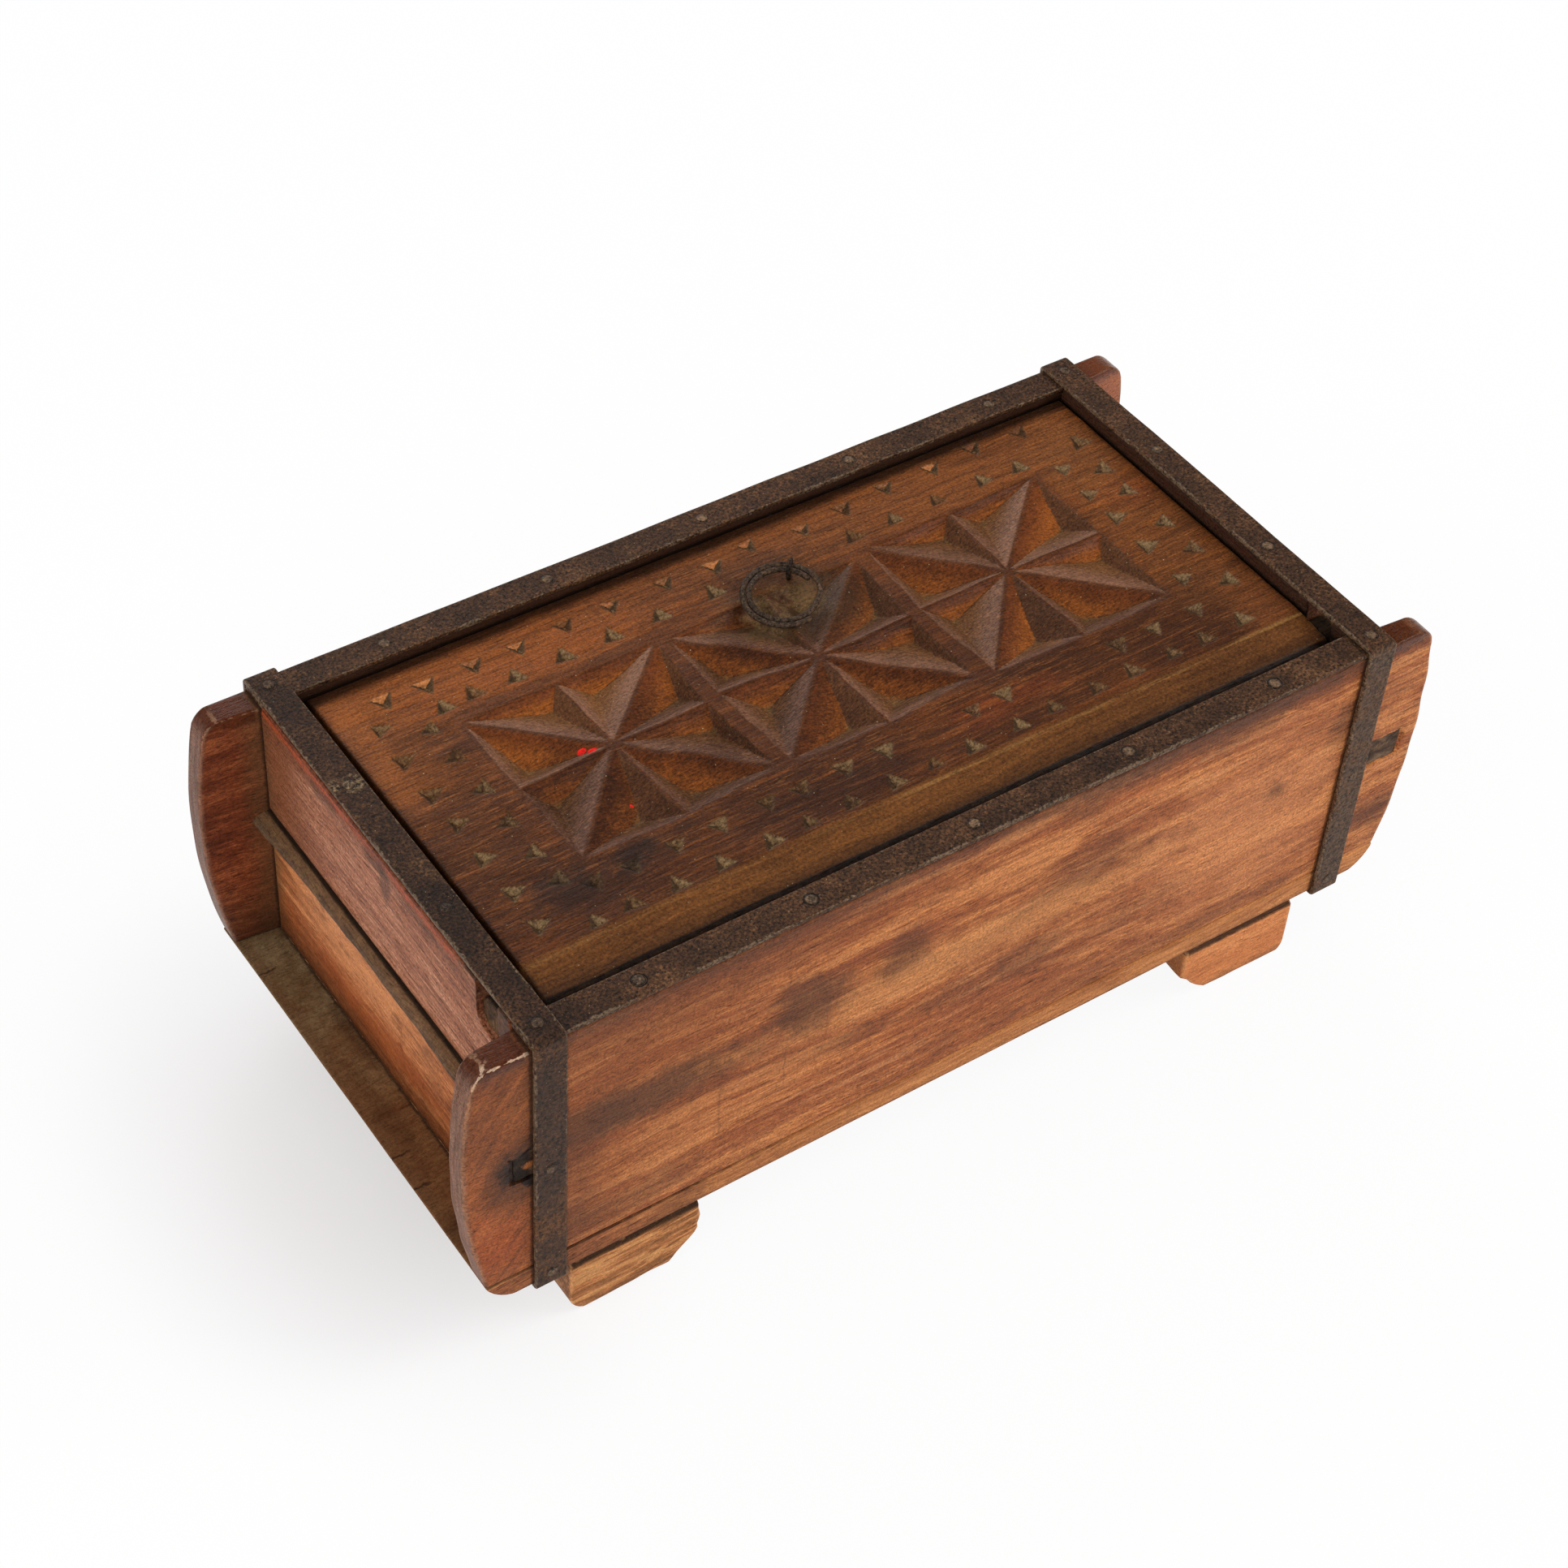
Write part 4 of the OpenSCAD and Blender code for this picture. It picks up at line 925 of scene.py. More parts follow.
def front_marks(b):
    """The front board: smudges, fine cracks, darker ears, and grime under the strap."""
    face = -73
    flame = b.weave((0.014, 0.1, 0.085), 3.0, 0.55, 0.9, shift=(3.0, 0.0, 1.0))
    b.vary(flame, (0.5, 0.66, 0.6, (138, 70, 36)), (0.48, 0.34, 0.6, (204, 132, 76)))
    thin = b.weave((0.022, 0.4, 0.36), 4.0, 0.62, 0.5, shift=(7.0, 0.0, 2.0))
    b.vary(thin, (0.53, 0.68, 0.55, (206, 138, 84)), (0.47, 0.34, 0.5, (124, 64, 34)))
    b.daub(0.5, (214, 146, 86), (0, face, 74), (62, 20, 7), 0.6, 1.8)
    b.daub(0.45, (214, 140, 88), (96, face, 68), (36, 20, 26), 0.7, 1.6)
    b.shade(b.ragged(b.x - b.z * 0.6, 60, -90, -180, 0.0, 0.5), (128, 72, 38))
    b.shade(b.ragged(b.x, 30, -118, -142, 0.0, 0.6), (146, 78, 38))
    b.daub(0.35, (96, 50, 26), (-150, face, 104), (12, 20, 9), 0.6, 1.2)
    b.daub(0.5, (84, 50, 30), (-141, face, 66), (10, 20, 14), 0.7, 1.8, 0.09)
    b.daub(0.4, (102, 62, 30), (-140, face, 92), (6, 20, 12), 0.7, 1.8, 0.09)
    b.daub(0.45, (154, 68, 30), (-152, face, 48), (12, 20, 12), 0.6, 1.2)
    turned = b.put("VectorRotate", {"rotation_type": "Y_AXIS"}, {0: b.spot, 3: 0.9})
    slant = b.weave((0.05, 0.3, 0.34), 4.0, 0.62, place=turned)
    b.vary(slant, (0.5, 0.66, 0.6, (84, 46, 26)), (0.48, 0.34, 0.5, (172, 98, 52)),
           within=b.step(b.x, -138.5, -140.5))
    for (x, z), (half_x, half_z), share in FRONT_SMUDGES:
        b.daub(share, (80, 47, 27), (x, face, z), (half_x, 20, half_z), 0.6, 2.4, 0.075)
    for x, low, high in ((-82, 46, 66), (-62, 56, 69), (-62, 90, 99), (-49, 68, 78)):
        crack = b.line(b.x - x + b.torn(2.5), 0.45, 0.15)
        crack = crack * b.step(b.z, low - 2, low + 2) * b.step(b.z, high + 2, high - 2)
        b.shade(crack * 0.35, (84, 48, 30))
    b.shade(b.ragged(b.z, 9.0, 106.0, 117.0, 0.0, 0.75), (70, 44, 32))
    board_joints(b)
    # Painted shade: dark ragged patches round the left tenon's end, so that it reads as a deep torn hole
    b.daub(0.85, (46, 29, 19), (-143.5, -73.5, 74.0), (5.0, 9, 5.5), 0.5, 2.2, 0.35)
    b.shade(b.patch((-139.2, -73.5, 67.5), (1.7, 9, 3.4), 0.25, 1.6, 0.5), (16, 11, 8))
    b.daub(0.85, (40, 26, 18), (-138.5, -73.5, 73.0), (7.6, 9, 6.6), 0.1, 1.5, 0.4)
    inside_shade(b)
    ear_ends(b)


def rear_marks(b):
    """The rear board: redder and darker than the front one, with dust beside the corner."""
    b.shade(b.ragged(b.x, 7, -148, -139.5, 0.0, 0.6) * b.step(b.x, -137, -139), (98, 70, 44))
    b.shade(b.ragged(b.z, 14, 58, 34, 0.0, 0.6), (66, 42, 28))
    b.shade(b.ragged(b.x, 10, 130, 146, 0.0, 0.7), (190, 118, 82))
    board_joints(b)
    inside_shade(b)
    ear_ends(b)


# The lid's lighter and darker places: middle, half sizes, share and colour; then its stains
LID_TONES = (
    ((-84, 52), (46, 12), 0.6, (146, 82, 32)), ((-116, 30), (12, 32), 0.5, (128, 74, 30)),
    ((66, 50), (60, 12), 0.5, (122, 74, 38)), ((0, 54), (40, 7), 0.45, (122, 72, 34)),
    ((26, -34), (9, 5), 0.6, (124, 56, 24)), ((44, -34), (10, 4), 0.5, (118, 54, 24)),
    ((118, 19), (8, 6), 0.6, (122, 60, 30)), ((112, -4), (14, 36), 0.45, (116, 72, 38)),
    ((114, 42), (14, 18), 0.45, (122, 78, 44)), ((-112, -12), (14, 26), 0.5, (66, 38, 21)),
    ((-10, -36), (34, 7), 0.55, (62, 35, 21)), ((80, -38), (40, 7), 0.45, (66, 39, 22)),
    ((10, 44), (24, 7), 0.4, (72, 46, 27)), ((-70, 46), (40, 5), 0.35, (134, 72, 26)),
    ((-121, 40), (5, 24), 0.5, (156, 92, 44)), ((120, -44), (9, 16), 0.6, (134, 80, 42)),
    ((-60, -52), (70, 5), 0.4, (140, 86, 42)), ((-90, 20), (7, 14), 0.3, (150, 88, 40)),
)
LID_STAINS = (
    ((-82, -30), (7, 4), 0.8), ((-103, -29), (7, 7), 0.6), ((-94, -36), (18, 5), 0.4),
    ((-30, -38), (30, 5), 0.25), ((8, 46), (12, 6), 0.3),
)


def lid_marks(b):
    """The lid's top, facets and chips in turn, then what lies over them all, its edges and its underside."""
    dusty, fine = b.noise(0.11, 5.0, 0.68), b.noise(1.1, 3.0, 0.6)
    mottle = b.weave((0.022, 0.05, 0.05), 3.0, 0.6, shift=(4.0, 2.0, 0.0))
    scratch = b.weave((0.16, 1.9, 0.5), 2.0, 0.6, 0.4, shift=(2.0, 0.0, 0.0))
    strip = b.ragged(b.y, 1.5, -46.0, -47.4, by=dusty)
    lid_top(b, dusty, fine, mottle, scratch, strip)
    lid_facets(b, dusty, fine, mottle, scratch)
    lid_chips(b, dusty, fine)
    lid_stains(b, dusty, mottle)
    chip = b.mark("chip")
    b.rough = b.rough + b.step(b.mark("deep"), 0.8, 3.0) * 0.2 + chip * 0.25 + strip * 0.05
    b.height = b.height + dusty * 0.9 + fine * 0.5
    b.rubbed = b.rubbed * 0.2


def lid_top(b, dusty, fine, mottle, scratch, strip):
    """The lid's flat top: mottled and streaky, with a brown strip and a pale scribed line at the front."""
    hatch = b.weave((1.1, 0.05, 0.1))
    b.shade(b.ragged(b.y + b.x * 0.12, 60, 8, 50, 0.0, 0.62, by=mottle), (124, 70, 30))
    b.shade(b.ragged(b.y - b.x * 0.1, 50, -14, -40, 0.0, 0.5, by=mottle), (74, 42, 22))
    b.vary(mottle, (0.5, 0.72, 0.6, (120, 66, 26)), (0.48, 0.3, 0.7, (56, 31, 18)))
    for centre, half, share, colour in LID_TONES:
        b.daub(share, colour, (*centre, 113), (*half, 12), 0.6, 1.3)
    b.vary(hatch, (0.54, 0.66, 0.25, (44, 26, 16)), within=b.patch((-10, 46, 113), (60, 18, 12), 0.5, 1.0))
    streak = b.weave((0.03, 0.5, 0.5), 4.0, 0.6, 0.6, shift=(1.0, 5.0, 0.0))
    b.vary(streak, (0.5, 0.36, 0.38, (54, 30, 16)), (0.52, 0.68, 0.42, (146, 84, 36)))
    b.vary(scratch, (0.55, 0.68, 0.5, (48, 28, 16)), (0.43, 0.32, 0.4, (150, 96, 52)))
    uncut = 1 - b.step(b.mark("field"), 0.0, 0.08)
    b.colour = b.blend(uncut, b.colour, (1.06, 0.97, 0.84, 1.0), "MULTIPLY")
    around = b.step(b.x, -97, -95) * b.step(b.x, 102, 100) * b.step(b.y, -25, -23) * b.step(b.y, 40, 38)
    b.shade(around * uncut * b.step(mottle, 0.3, 0.6, 0.65, 0.4), (78, 44, 26))
    b.shade(strip * 0.92, b.ramp(b.streaks * 0.4 + b.bands * 0.3 + fine * 0.3,
                                 (0.38, (86, 50, 20)), (0.62, (142, 88, 38))))
    b.shade(strip * b.ragged(b.y, 4.0, -53.0, -58.0, 0.0, 0.62, by=dusty), (52, 32, 17))
    scribed = b.line(b.y + 48.0 + (mottle - 0.5) * 2.5, 0.9, 0.2) * b.step(streak, 0.42, 0.56)
    b.shade(scribed * b.step(b.x, -40, 10, 0.25, 0.6), (168, 122, 66))


def lid_facets(b, dusty, fine, mottle, scratch):
    """The rosettes' facets by the way they face, as painted light: dark shade to the left, orange to the
    front, a cool sheen elsewhere.
    """
    deep, field, right, rear = b.mark("deep"), b.mark("field"), b.mark("to_right"), b.mark("to_rear")
    cut = b.step(field, 0.0, 0.08)

    def glow(centre, half, share):
        return b.patch((*centre, 113), (*half, 12), 0.6, 0.8) * share

    lit = glow((-66, 32), (44, 14), 0.13) + glow((70, 12), (44, 34), 0.05)
    dim = glow((4, 29), (26, 13), 0.15) + glow((-62, -16), (44, 15), 0.07)
    grainy = b.fibres * 0.22 + dusty * 0.2 + scratch * 0.2 + fine * 0.22 + mottle * 0.16
    grainy = grainy + b.mark("tint") * 0.05 + lit - dim

    def wood(dark, light):
        return b.ramp(grainy, (0.4, dark), (0.62, light))

    # Painted shade on the facets facing left
    b.shade(b.step(right, -0.5, -0.8) * cut * 0.85, wood((56, 31, 16), (104, 66, 40)))
    down = b.ragged(deep, 1.3, 0.3, 3.0, by=dusty)
    # Painted orange light on the facets facing the front, darker near the ridges
    orange = b.blend(down, wood((54, 26, 11), (108, 54, 21)), wood((84, 42, 13), (148, 80, 26)))
    b.shade(b.ragged(rear, 0.1, -0.25, -0.5, by=fine) * cut * 0.9, orange)
    # A painted sheen on the facets facing the rear or right, brightest near the ridges
    cool = b.blend(down, wood((82, 52, 37), (138, 96, 72)), wood((70, 44, 25), (122, 80, 45)))
    b.shade(b.step(rear + right.most(0.0) * 0.9, 0.3, 0.6) * cut * 0.85, cool)
    # More painted shade on the facets facing left
    b.lighten(1 - b.step(right, -0.4, -0.8) * cut * 0.14)
    b.shade(b.step(field, 0.12, 0.03) * b.step(field, 0.0, 0.02) * 0.25, (58, 33, 20))
    b.shade(b.ragged(deep, 2.2, 3.3, 4.5, 0.0, 0.55, by=dusty) * cut, (106, 85, 52))


def lid_chips(b, dusty, fine):
    """The triangle chips: dusty where old, fresh orange wood in the rear row, painted light and shade by how
    their sides face.
    """
    chip, fresh, tint = b.mark("chip"), b.mark("fresh"), b.mark("tint")
    right, rear = b.mark("to_right"), b.mark("to_rear")
    old = b.blend(b.step(fine + tint * 0.08, 0.36, 0.62), tone(64, 45, 27), tone(116, 90, 59))
    b.shade(chip * b.ragged(tint, 2.0, -1.0, 0.6, 0.6, 0.95, by=fine), old)
    # Painted shade on the chips' sides facing right, then painted light on those facing left and to the front
    b.shade(chip * b.step(right, 0.25, 0.75, 0.0, 0.8), (52, 36, 21))
    lit = b.step(right * 0.7 + rear * 0.35, -0.15, -0.6, 0.0, 0.55) * b.step(fine, 0.3, 0.55, 0.4, 1.0)
    b.shade(chip * lit * b.step(tint, -0.9, 0.5, 0.3, 1.0), (140, 114, 80))
    b.shade(chip * b.step(chip, 0.85, 0.3) * 0.45, (50, 32, 18))
    clean = b.step(dusty + fine * 0.3 + tint * 0.1, 0.5, 0.72, 0.15, 0.9)
    new = fresh * b.step(rear, -0.3, -0.7) * clean
    b.shade(new * 0.85, (170, 100, 60))
    b.shade(new * b.step(tint, 0.5, 0.9, 0.0, 0.5), (212, 138, 76))
    # Painted shade on the fresh chips' sides facing left
    b.shade(fresh * b.step(right, -0.3, -0.7, 0.0, 0.7), (52, 33, 19))


def lid_stains(b, dusty, mottle):
    """Over the lid: wood rubbed bare by the ring, ink, red flecks, dark edges, painted shadow and shade at
    edges and sides, underside.
    """
    chip = b.mark("chip")
    b.daub(0.6, (66, 44, 26), (12, 26, 112), (16, 13, 9), 0.7, 1.2)
    b.shade(b.mark("bare") * b.step(dusty, 0.36, 0.58, 0.0, 0.75) * (1 - chip), (122, 96, 62))
    for centre, half, share in LID_STAINS:
        b.daub(share, (34, 26, 23), (*centre, 113), (*half, 9), 0.5, 2.4)
    flecks = [b.patch((*centre, 112), (*half, 9), 0.15, 0.5, 0.8) for centre, half in (
        ((-72.9, 9.9), (1.4, 0.8)), ((-70.7, 8.5), (1.5, 0.8)), ((-71.3, -12.2), (0.5, 0.6)))]
    b.shade(flecks[0].most(flecks[1]).most(flecks[2]), (214, 30, 20))
    b.shade(b.specks(0.3, 0.06) * 0.8, (176, 156, 124))
    b.shade(b.ragged(b.y, 30, -20, -44, 0.0, 0.3, by=mottle) * (1 - chip), (58, 30, 16))
    # Painted shadow along the rear edge, under the rear strap
    b.shade(b.ragged(b.y, 3.0, 57.5, 61.5, by=dusty) * 0.88, (26, 15, 9))
    b.shade(b.step(b.mark("arris"), 1.8, 0.2) * b.step(dusty, 0.3, 0.5) * 0.75, (34, 21, 14))
    # Painted shadow on the front slope, in the shadow of the front strap
    b.shade(b.ragged(b.y, 0.8, -57.9, -58.6, by=dusty) * 0.92, (18, 11, 8))
    # Painted shade on the lid's sides, in the gap round it
    side = b.step(b.z, 111.0, 109.5) * b.step(b.mark("field"), 0.02, 0.0)
    b.shade(side * b.step(b.z, 101.0, 102.0) * 0.85, (30, 20, 14))
    b.shade(b.step(b.z, 102.0, 101.0) * b.step(dusty, 0.3, 0.7, 0.4, 0.75), (122, 78, 46))


def bottom_marks(b):
    """The bottom board: its edge is lighter to the right; between the ears its top is painted light and has
    dust on it.
    """
    light = b.ragged(b.x, 50, -125, -50, 0.0, 0.85) * b.step(b.y, -72.4, -73.2)
    b.shade(light, b.ramp(b.streaks, (0.35, (158, 94, 48)), (0.65, (212, 142, 84))))
    b.shade(b.ragged(b.z, 3.0, 23.8, 22.4) * 0.5, (92, 56, 34))
    top = b.step(b.z, 29.2, 29.8)
    dust = b.noise(0.06, 4.0, 0.6)
    wood = b.ramp(b.streaks * 0.6 + dust * 0.4, (0.36, (186, 112, 62)), (0.62, (236, 166, 104)))
    pale = b.ramp(dust * 0.5 + b.scuff * 0.5, (0.4, (176, 136, 88)), (0.62, (234, 200, 146)))
    rear = b.step(b.y + (dust - 0.5) * 50, -12, 50)
    # Painted light: the top between the ears in a light wood tone, paler with dust towards the rear
    b.shade(top * b.beyond(b.x, 137.5, 138.5) * 0.88, b.blend(rear, wood, pale))
    b.shade(b.beyond(b.x, 146.5, 150.0) * top * 0.5, (186, 138, 92))
    for (x, y), (half_x, half_y), share in (((-143, -54), (9, 9), 0.35), ((-146, -12), (3, 20), 0.4),
                                            ((-140, 20), (2, 14), 0.35)):
        b.shade(b.patch((x, y, 30), (half_x, half_y, 4), 0.5, 1.2) * top * share, (90, 52, 32))
    for y in (-36.0, -24.0, 52.0):
        crack = b.line(b.y - y + b.torn(3.0), 0.5, 0.15)
        b.shade(crack * top * b.step(b.x, -145.5, -148.0) * 0.7, (36, 24, 17))
    board_joints(b)
    b.rough = b.rough + top * 0.2


def upper_end_marks(b):
    """The upper end boards: dusty in the corners, scratched, orange-red along the worn top arris."""
    lines = b.weave((0.3, 0.055, 1.1), 4.0, 0.62, 0.4)
    b.vary(lines, (0.52, 0.66, 0.55, (112, 62, 40)), (0.46, 0.34, 0.5, (196, 142, 112)))
    b.shade(b.ragged(b.y, 16, 28, 56, 0.0, 0.75), (112, 64, 38))
    b.shade(b.ragged(b.y * b.y, 1400, 3300, 4200, 0.0, 0.6), (98, 68, 42))
    b.shade(b.ragged(b.z, 1.5, 80.0, 78.6) * 0.7, (62, 40, 28))
    for low, slope, start, end in ((89.9, 0.015, 24, -40), (85.4, 0.01, -10, -46), (103.0, 0.05, -2, -30)):
        scratch = b.line(b.z - b.y * slope - low + b.torn(0.7), 0.4, 0.1)
        scratch = scratch * b.step(b.y, start + 3, start - 3) * b.step(b.y, end - 3, end + 3)
        b.shade(scratch * 0.6, (76, 44, 32))
    b.shade(b.ragged(b.z, 9, 107.0, 113.5) * 0.45, (96, 54, 34))
    b.shade(b.ragged(b.z, 5, 112.5, 115.4) * b.step(b.y, -40, -36) * 0.75, (156, 66, 32))
    b.shade(b.step(b.z, 115.8, 116.5) * 0.8, (46, 29, 20))
    b.shade(b.ragged(b.y, 3, -56.5, -59) * b.step(b.z, 98, 104) * 0.7, (62, 41, 27))
    for (y, z), (half_y, half_z), share in (((-2, 109), (3, 7), 0.5), ((3, 113), (6, 3), 0.5),
                                            ((30, 112), (8, 2.5), 0.4), ((-20, 112), (9, 2), 0.4)):
        b.daub(share, (60, 38, 26), (-138, y, z), (9, half_y, half_z), 0.4, 1.0)
    left, right = (b.patch((x, PIVOT_Y, 112), (14, 5.8, 9.6), 0.15, 1.2, 0.5) for x in (-134, 134))
    notch = left.most(right)
    b.shade(notch * 0.6, (84, 56, 38))
    b.rubbed = b.rubbed * (1 - notch)
    inside_shade(b)


def lower_end_marks(b):
    """The lower end boards: blotted, lit in the middle, dark in the corners and towards the floor."""
    b.daub(0.5, (212, 142, 90), (-138, 20, 61), (14, 34, 9), 0.7, 1.2)
    b.vary(b.weave((0.05, 0.05, 0.09), 4.0, 0.68, 0.6), (0.5, 0.66, 0.6, (112, 62, 34)))
    b.shade(b.ragged(b.y * b.y, 900, 3200, 4150, 0.0, 0.7), (104, 76, 46))
    b.shade(b.ragged(b.z, 18, 54, 30, 0.0, 0.85), (90, 46, 22))
    b.daub(0.45, (156, 74, 28), (-138, 14, 44), (14, 40, 6), 0.6, 1.6)
    b.shade(b.ragged(b.z, 4.0, 33.5, 30.5) * 0.8, (50, 31, 20))


def rail_marks(b):
    """Rails: a dusty bead under a dark seam, its foot as the board below, and the tenons' torn ends."""
    out = b.beyond(b.x, 138.9, 139.8)
    seam = b.step(b.z, 76.9, 77.4) * b.beyond(b.x, 139.9, 139.1)
    b.shade(out * b.step(b.scuff, 0.45, 0.65, 0.0, 0.6), (124, 92, 62))
    b.shade(b.step(b.z, 76.4, 77.2) * out * 0.5, (128, 94, 64))
    b.shade(seam * 0.85, (36, 25, 17))
    b.shade(b.ragged(b.y, 30, 36, 60, 0.0, 0.25) * out, (104, 78, 52))
    lower = b.ramp(b.streaks * 0.6 + b.fibres * 0.4, (0.34, (104, 58, 30)), (0.5, (150, 86, 46)),
                   (0.66, (186, 118, 70)))
    b.shade(b.ragged(b.z, 0.5, 74.6, 74.1) * b.beyond(b.x, 142.6, 141.6) * 0.9, lower)
    ends = b.beyond(b.y, 71.6, 72.2)
    torn = b.noise(0.45, 2.0, 0.5, place=b.stretch(b.spot, (0.5, 0.2, 1.0)))
    b.shade(ends, b.ramp(torn, (0.36, (46, 32, 23)), (0.55, (80, 58, 42)), (0.72, (116, 88, 64))))
    # Painted shade: the left tenons' ends darkened so that they read as torn holes
    b.shade(b.step(b.x, -138, -139.5) * ends * b.step(torn, 0.7, 0.45, 0.7, 0.95), (32, 21, 14))
    b.daub(0.8, (170, 98, 50), (-139.0, -72.5, 72.2), (1.6, 9, 1.1), 0.5, 1.6, 0.8)
    b.daub(0.5, (132, 108, 88), (146, -72.5, 68.6), (4, 9, 1.6), 0.4, 0.8, 0.4)
    b.height = b.height + torn * ends * 3.0
    b.rubbed = b.rubbed * (1 - ends)


def peg_marks(b):
    """The pegs' ends, seen in their notches: tan and split at the front, dark above and behind as painted
    shade.
    """
    end = b.beyond(b.x, 134.0, 136.0)
    over = b.ragged(b.z + (b.y - PIVOT_Y) * 0.9, 5.0, 105.0, 107.5)
    split = b.step(b.weave((0.1, 0.9, 0.14), 3.0, 0.6), 0.52, 0.62)
    # Painted shade on the peg where it enters the lid
    b.shade(b.beyond(b.x, 134.0, 132.5) * 0.85, (26, 18, 12))
    b.shade(end * 0.6, (128, 98, 64))
    b.shade(end * split * 0.6, (58, 40, 26))
    # Painted shade over the upper rear of the peg's end, so that the notch reads as a dark hole
    b.shade(end * over * 0.92, (28, 19, 13))


def foot_marks(b):
    """The feet: painted shadow in the gap under the bottom board, dirt on the lower arris, painted shade away
    from the front.
    """
    left = b.step(b.x, 10, -10)
    b.shade(left * b.step(b.bands * 0.4 + b.streaks * 0.6, 0.44, 0.58, 0.05, 0.85), (118, 74, 38))
    b.shade(left * b.step(b.streaks, 0.48, 0.36, 0.0, 0.6), (216, 160, 98))
    b.shade(b.step(b.x, -10, 10) * 0.5, (214, 128, 72))
    # Painted shadow in the gap under the bottom board
    b.shade(b.ragged(b.z, 0.8, 18.9, 20.0) * 0.92, (46, 30, 20))
    b.shade(b.ragged(b.z, 6.0, 4.5, 0.5) * 0.55, (110, 72, 44))
    # Painted shade on the foot's faces away from its front face
    b.shade(b.beyond(b.y, 73.2, 71.5) * 0.45, (92, 60, 38))


def iron(name, seed, rust=0.4, bright=(124, 102, 80), body=(68, 44, 27), shine=0.5, broken=2.4, wide=0.3):
    """Old wrought iron: dark brown skin with rust and pale dirt, edges rubbed a little brighter; on nails and
    wire, painted shade and highlight.
    """
    b = Finish(name)
    mottle = b.weave((0.06,) * 3, 4.0, 0.6, shift=(seed, 0, 0))
    fine = b.weave((0.9,) * 3, 4.0, 0.65, shift=(seed, 2, 0))
    b.colour = b.ramp(mottle * 0.5 + fine * 0.5, (0.36, [c * 0.66 for c in body]), (0.5, body),
                      (0.64, [c * 1.36 for c in body]))
    upright = b.beyond(b.y, 74.2, 74.8)
    # Painted light: the uprights on the right lighter than those on the left
    b.shade(upright * b.step(b.x, -10, 10) * 0.6, (88, 68, 52))
    b.shade(upright * b.patch((-133.5, -75, 80), (9, 9, 26), 0.5, 0.8) * 0.5, (54, 39, 31))
    b.shade(b.step(b.z, 116.0, 117.0) * b.step(b.x, -118, -124) * 0.45, (38, 25, 18))
    brown = b.ragged(mottle, 0.8, 0.5, 0.7, 0.0, rust, by=fine)
    b.shade(brown, (92, 60, 36))
    dusty = b.ragged(fine, 0.9, 0.58, 0.74, 0.0, 0.22, by=mottle)
    b.shade(dusty * (1 - upright), (112, 88, 62))
    pale = b.patch((-132.0, 24.5, 118), (2.6, 3.4, 4), 0.4, 2.4, 0.5)
    pale = pale.most(b.patch((-136.8, 26.5, 118), (1.2, 2.4, 4), 0.3, 2.0, 0.5))
    b.shade(pale * b.step(fine, 0.42, 0.6) * 0.5, (150, 126, 94))
    b.daub(0.45, (28, 20, 16), (-133.5, -24, 118), (5.5, 13, 4), 0.6, 1.4)
    b.shade(b.specks(0.5, 0.08) * 0.7, (160, 138, 108))
    b.shade(b.specks(0.93, 0.11) * 0.5, (128, 104, 78))
    # The edge colour: worn edges on the straps, painted shade in the nails' groove, painted highlight flecks
    # on the wire
    near_edge = b.mark("arris") + (fine - 0.5) * broken + (mottle - 0.5) * broken
    edge = b.step(near_edge, wide, wide * 0.2, 0.0, shine)
    b.shade(edge, bright)
    b.lighten((b.noise(1.3, 3.0, 0.7) - 0.5) * 5.2 + 1.0)
    b.rough = fine * 0.3 + 0.42 + brown * 0.15 - edge * 0.1
    b.height = mottle * 0.8 + fine * 1.6
    return b.close(0.16, 0.17)


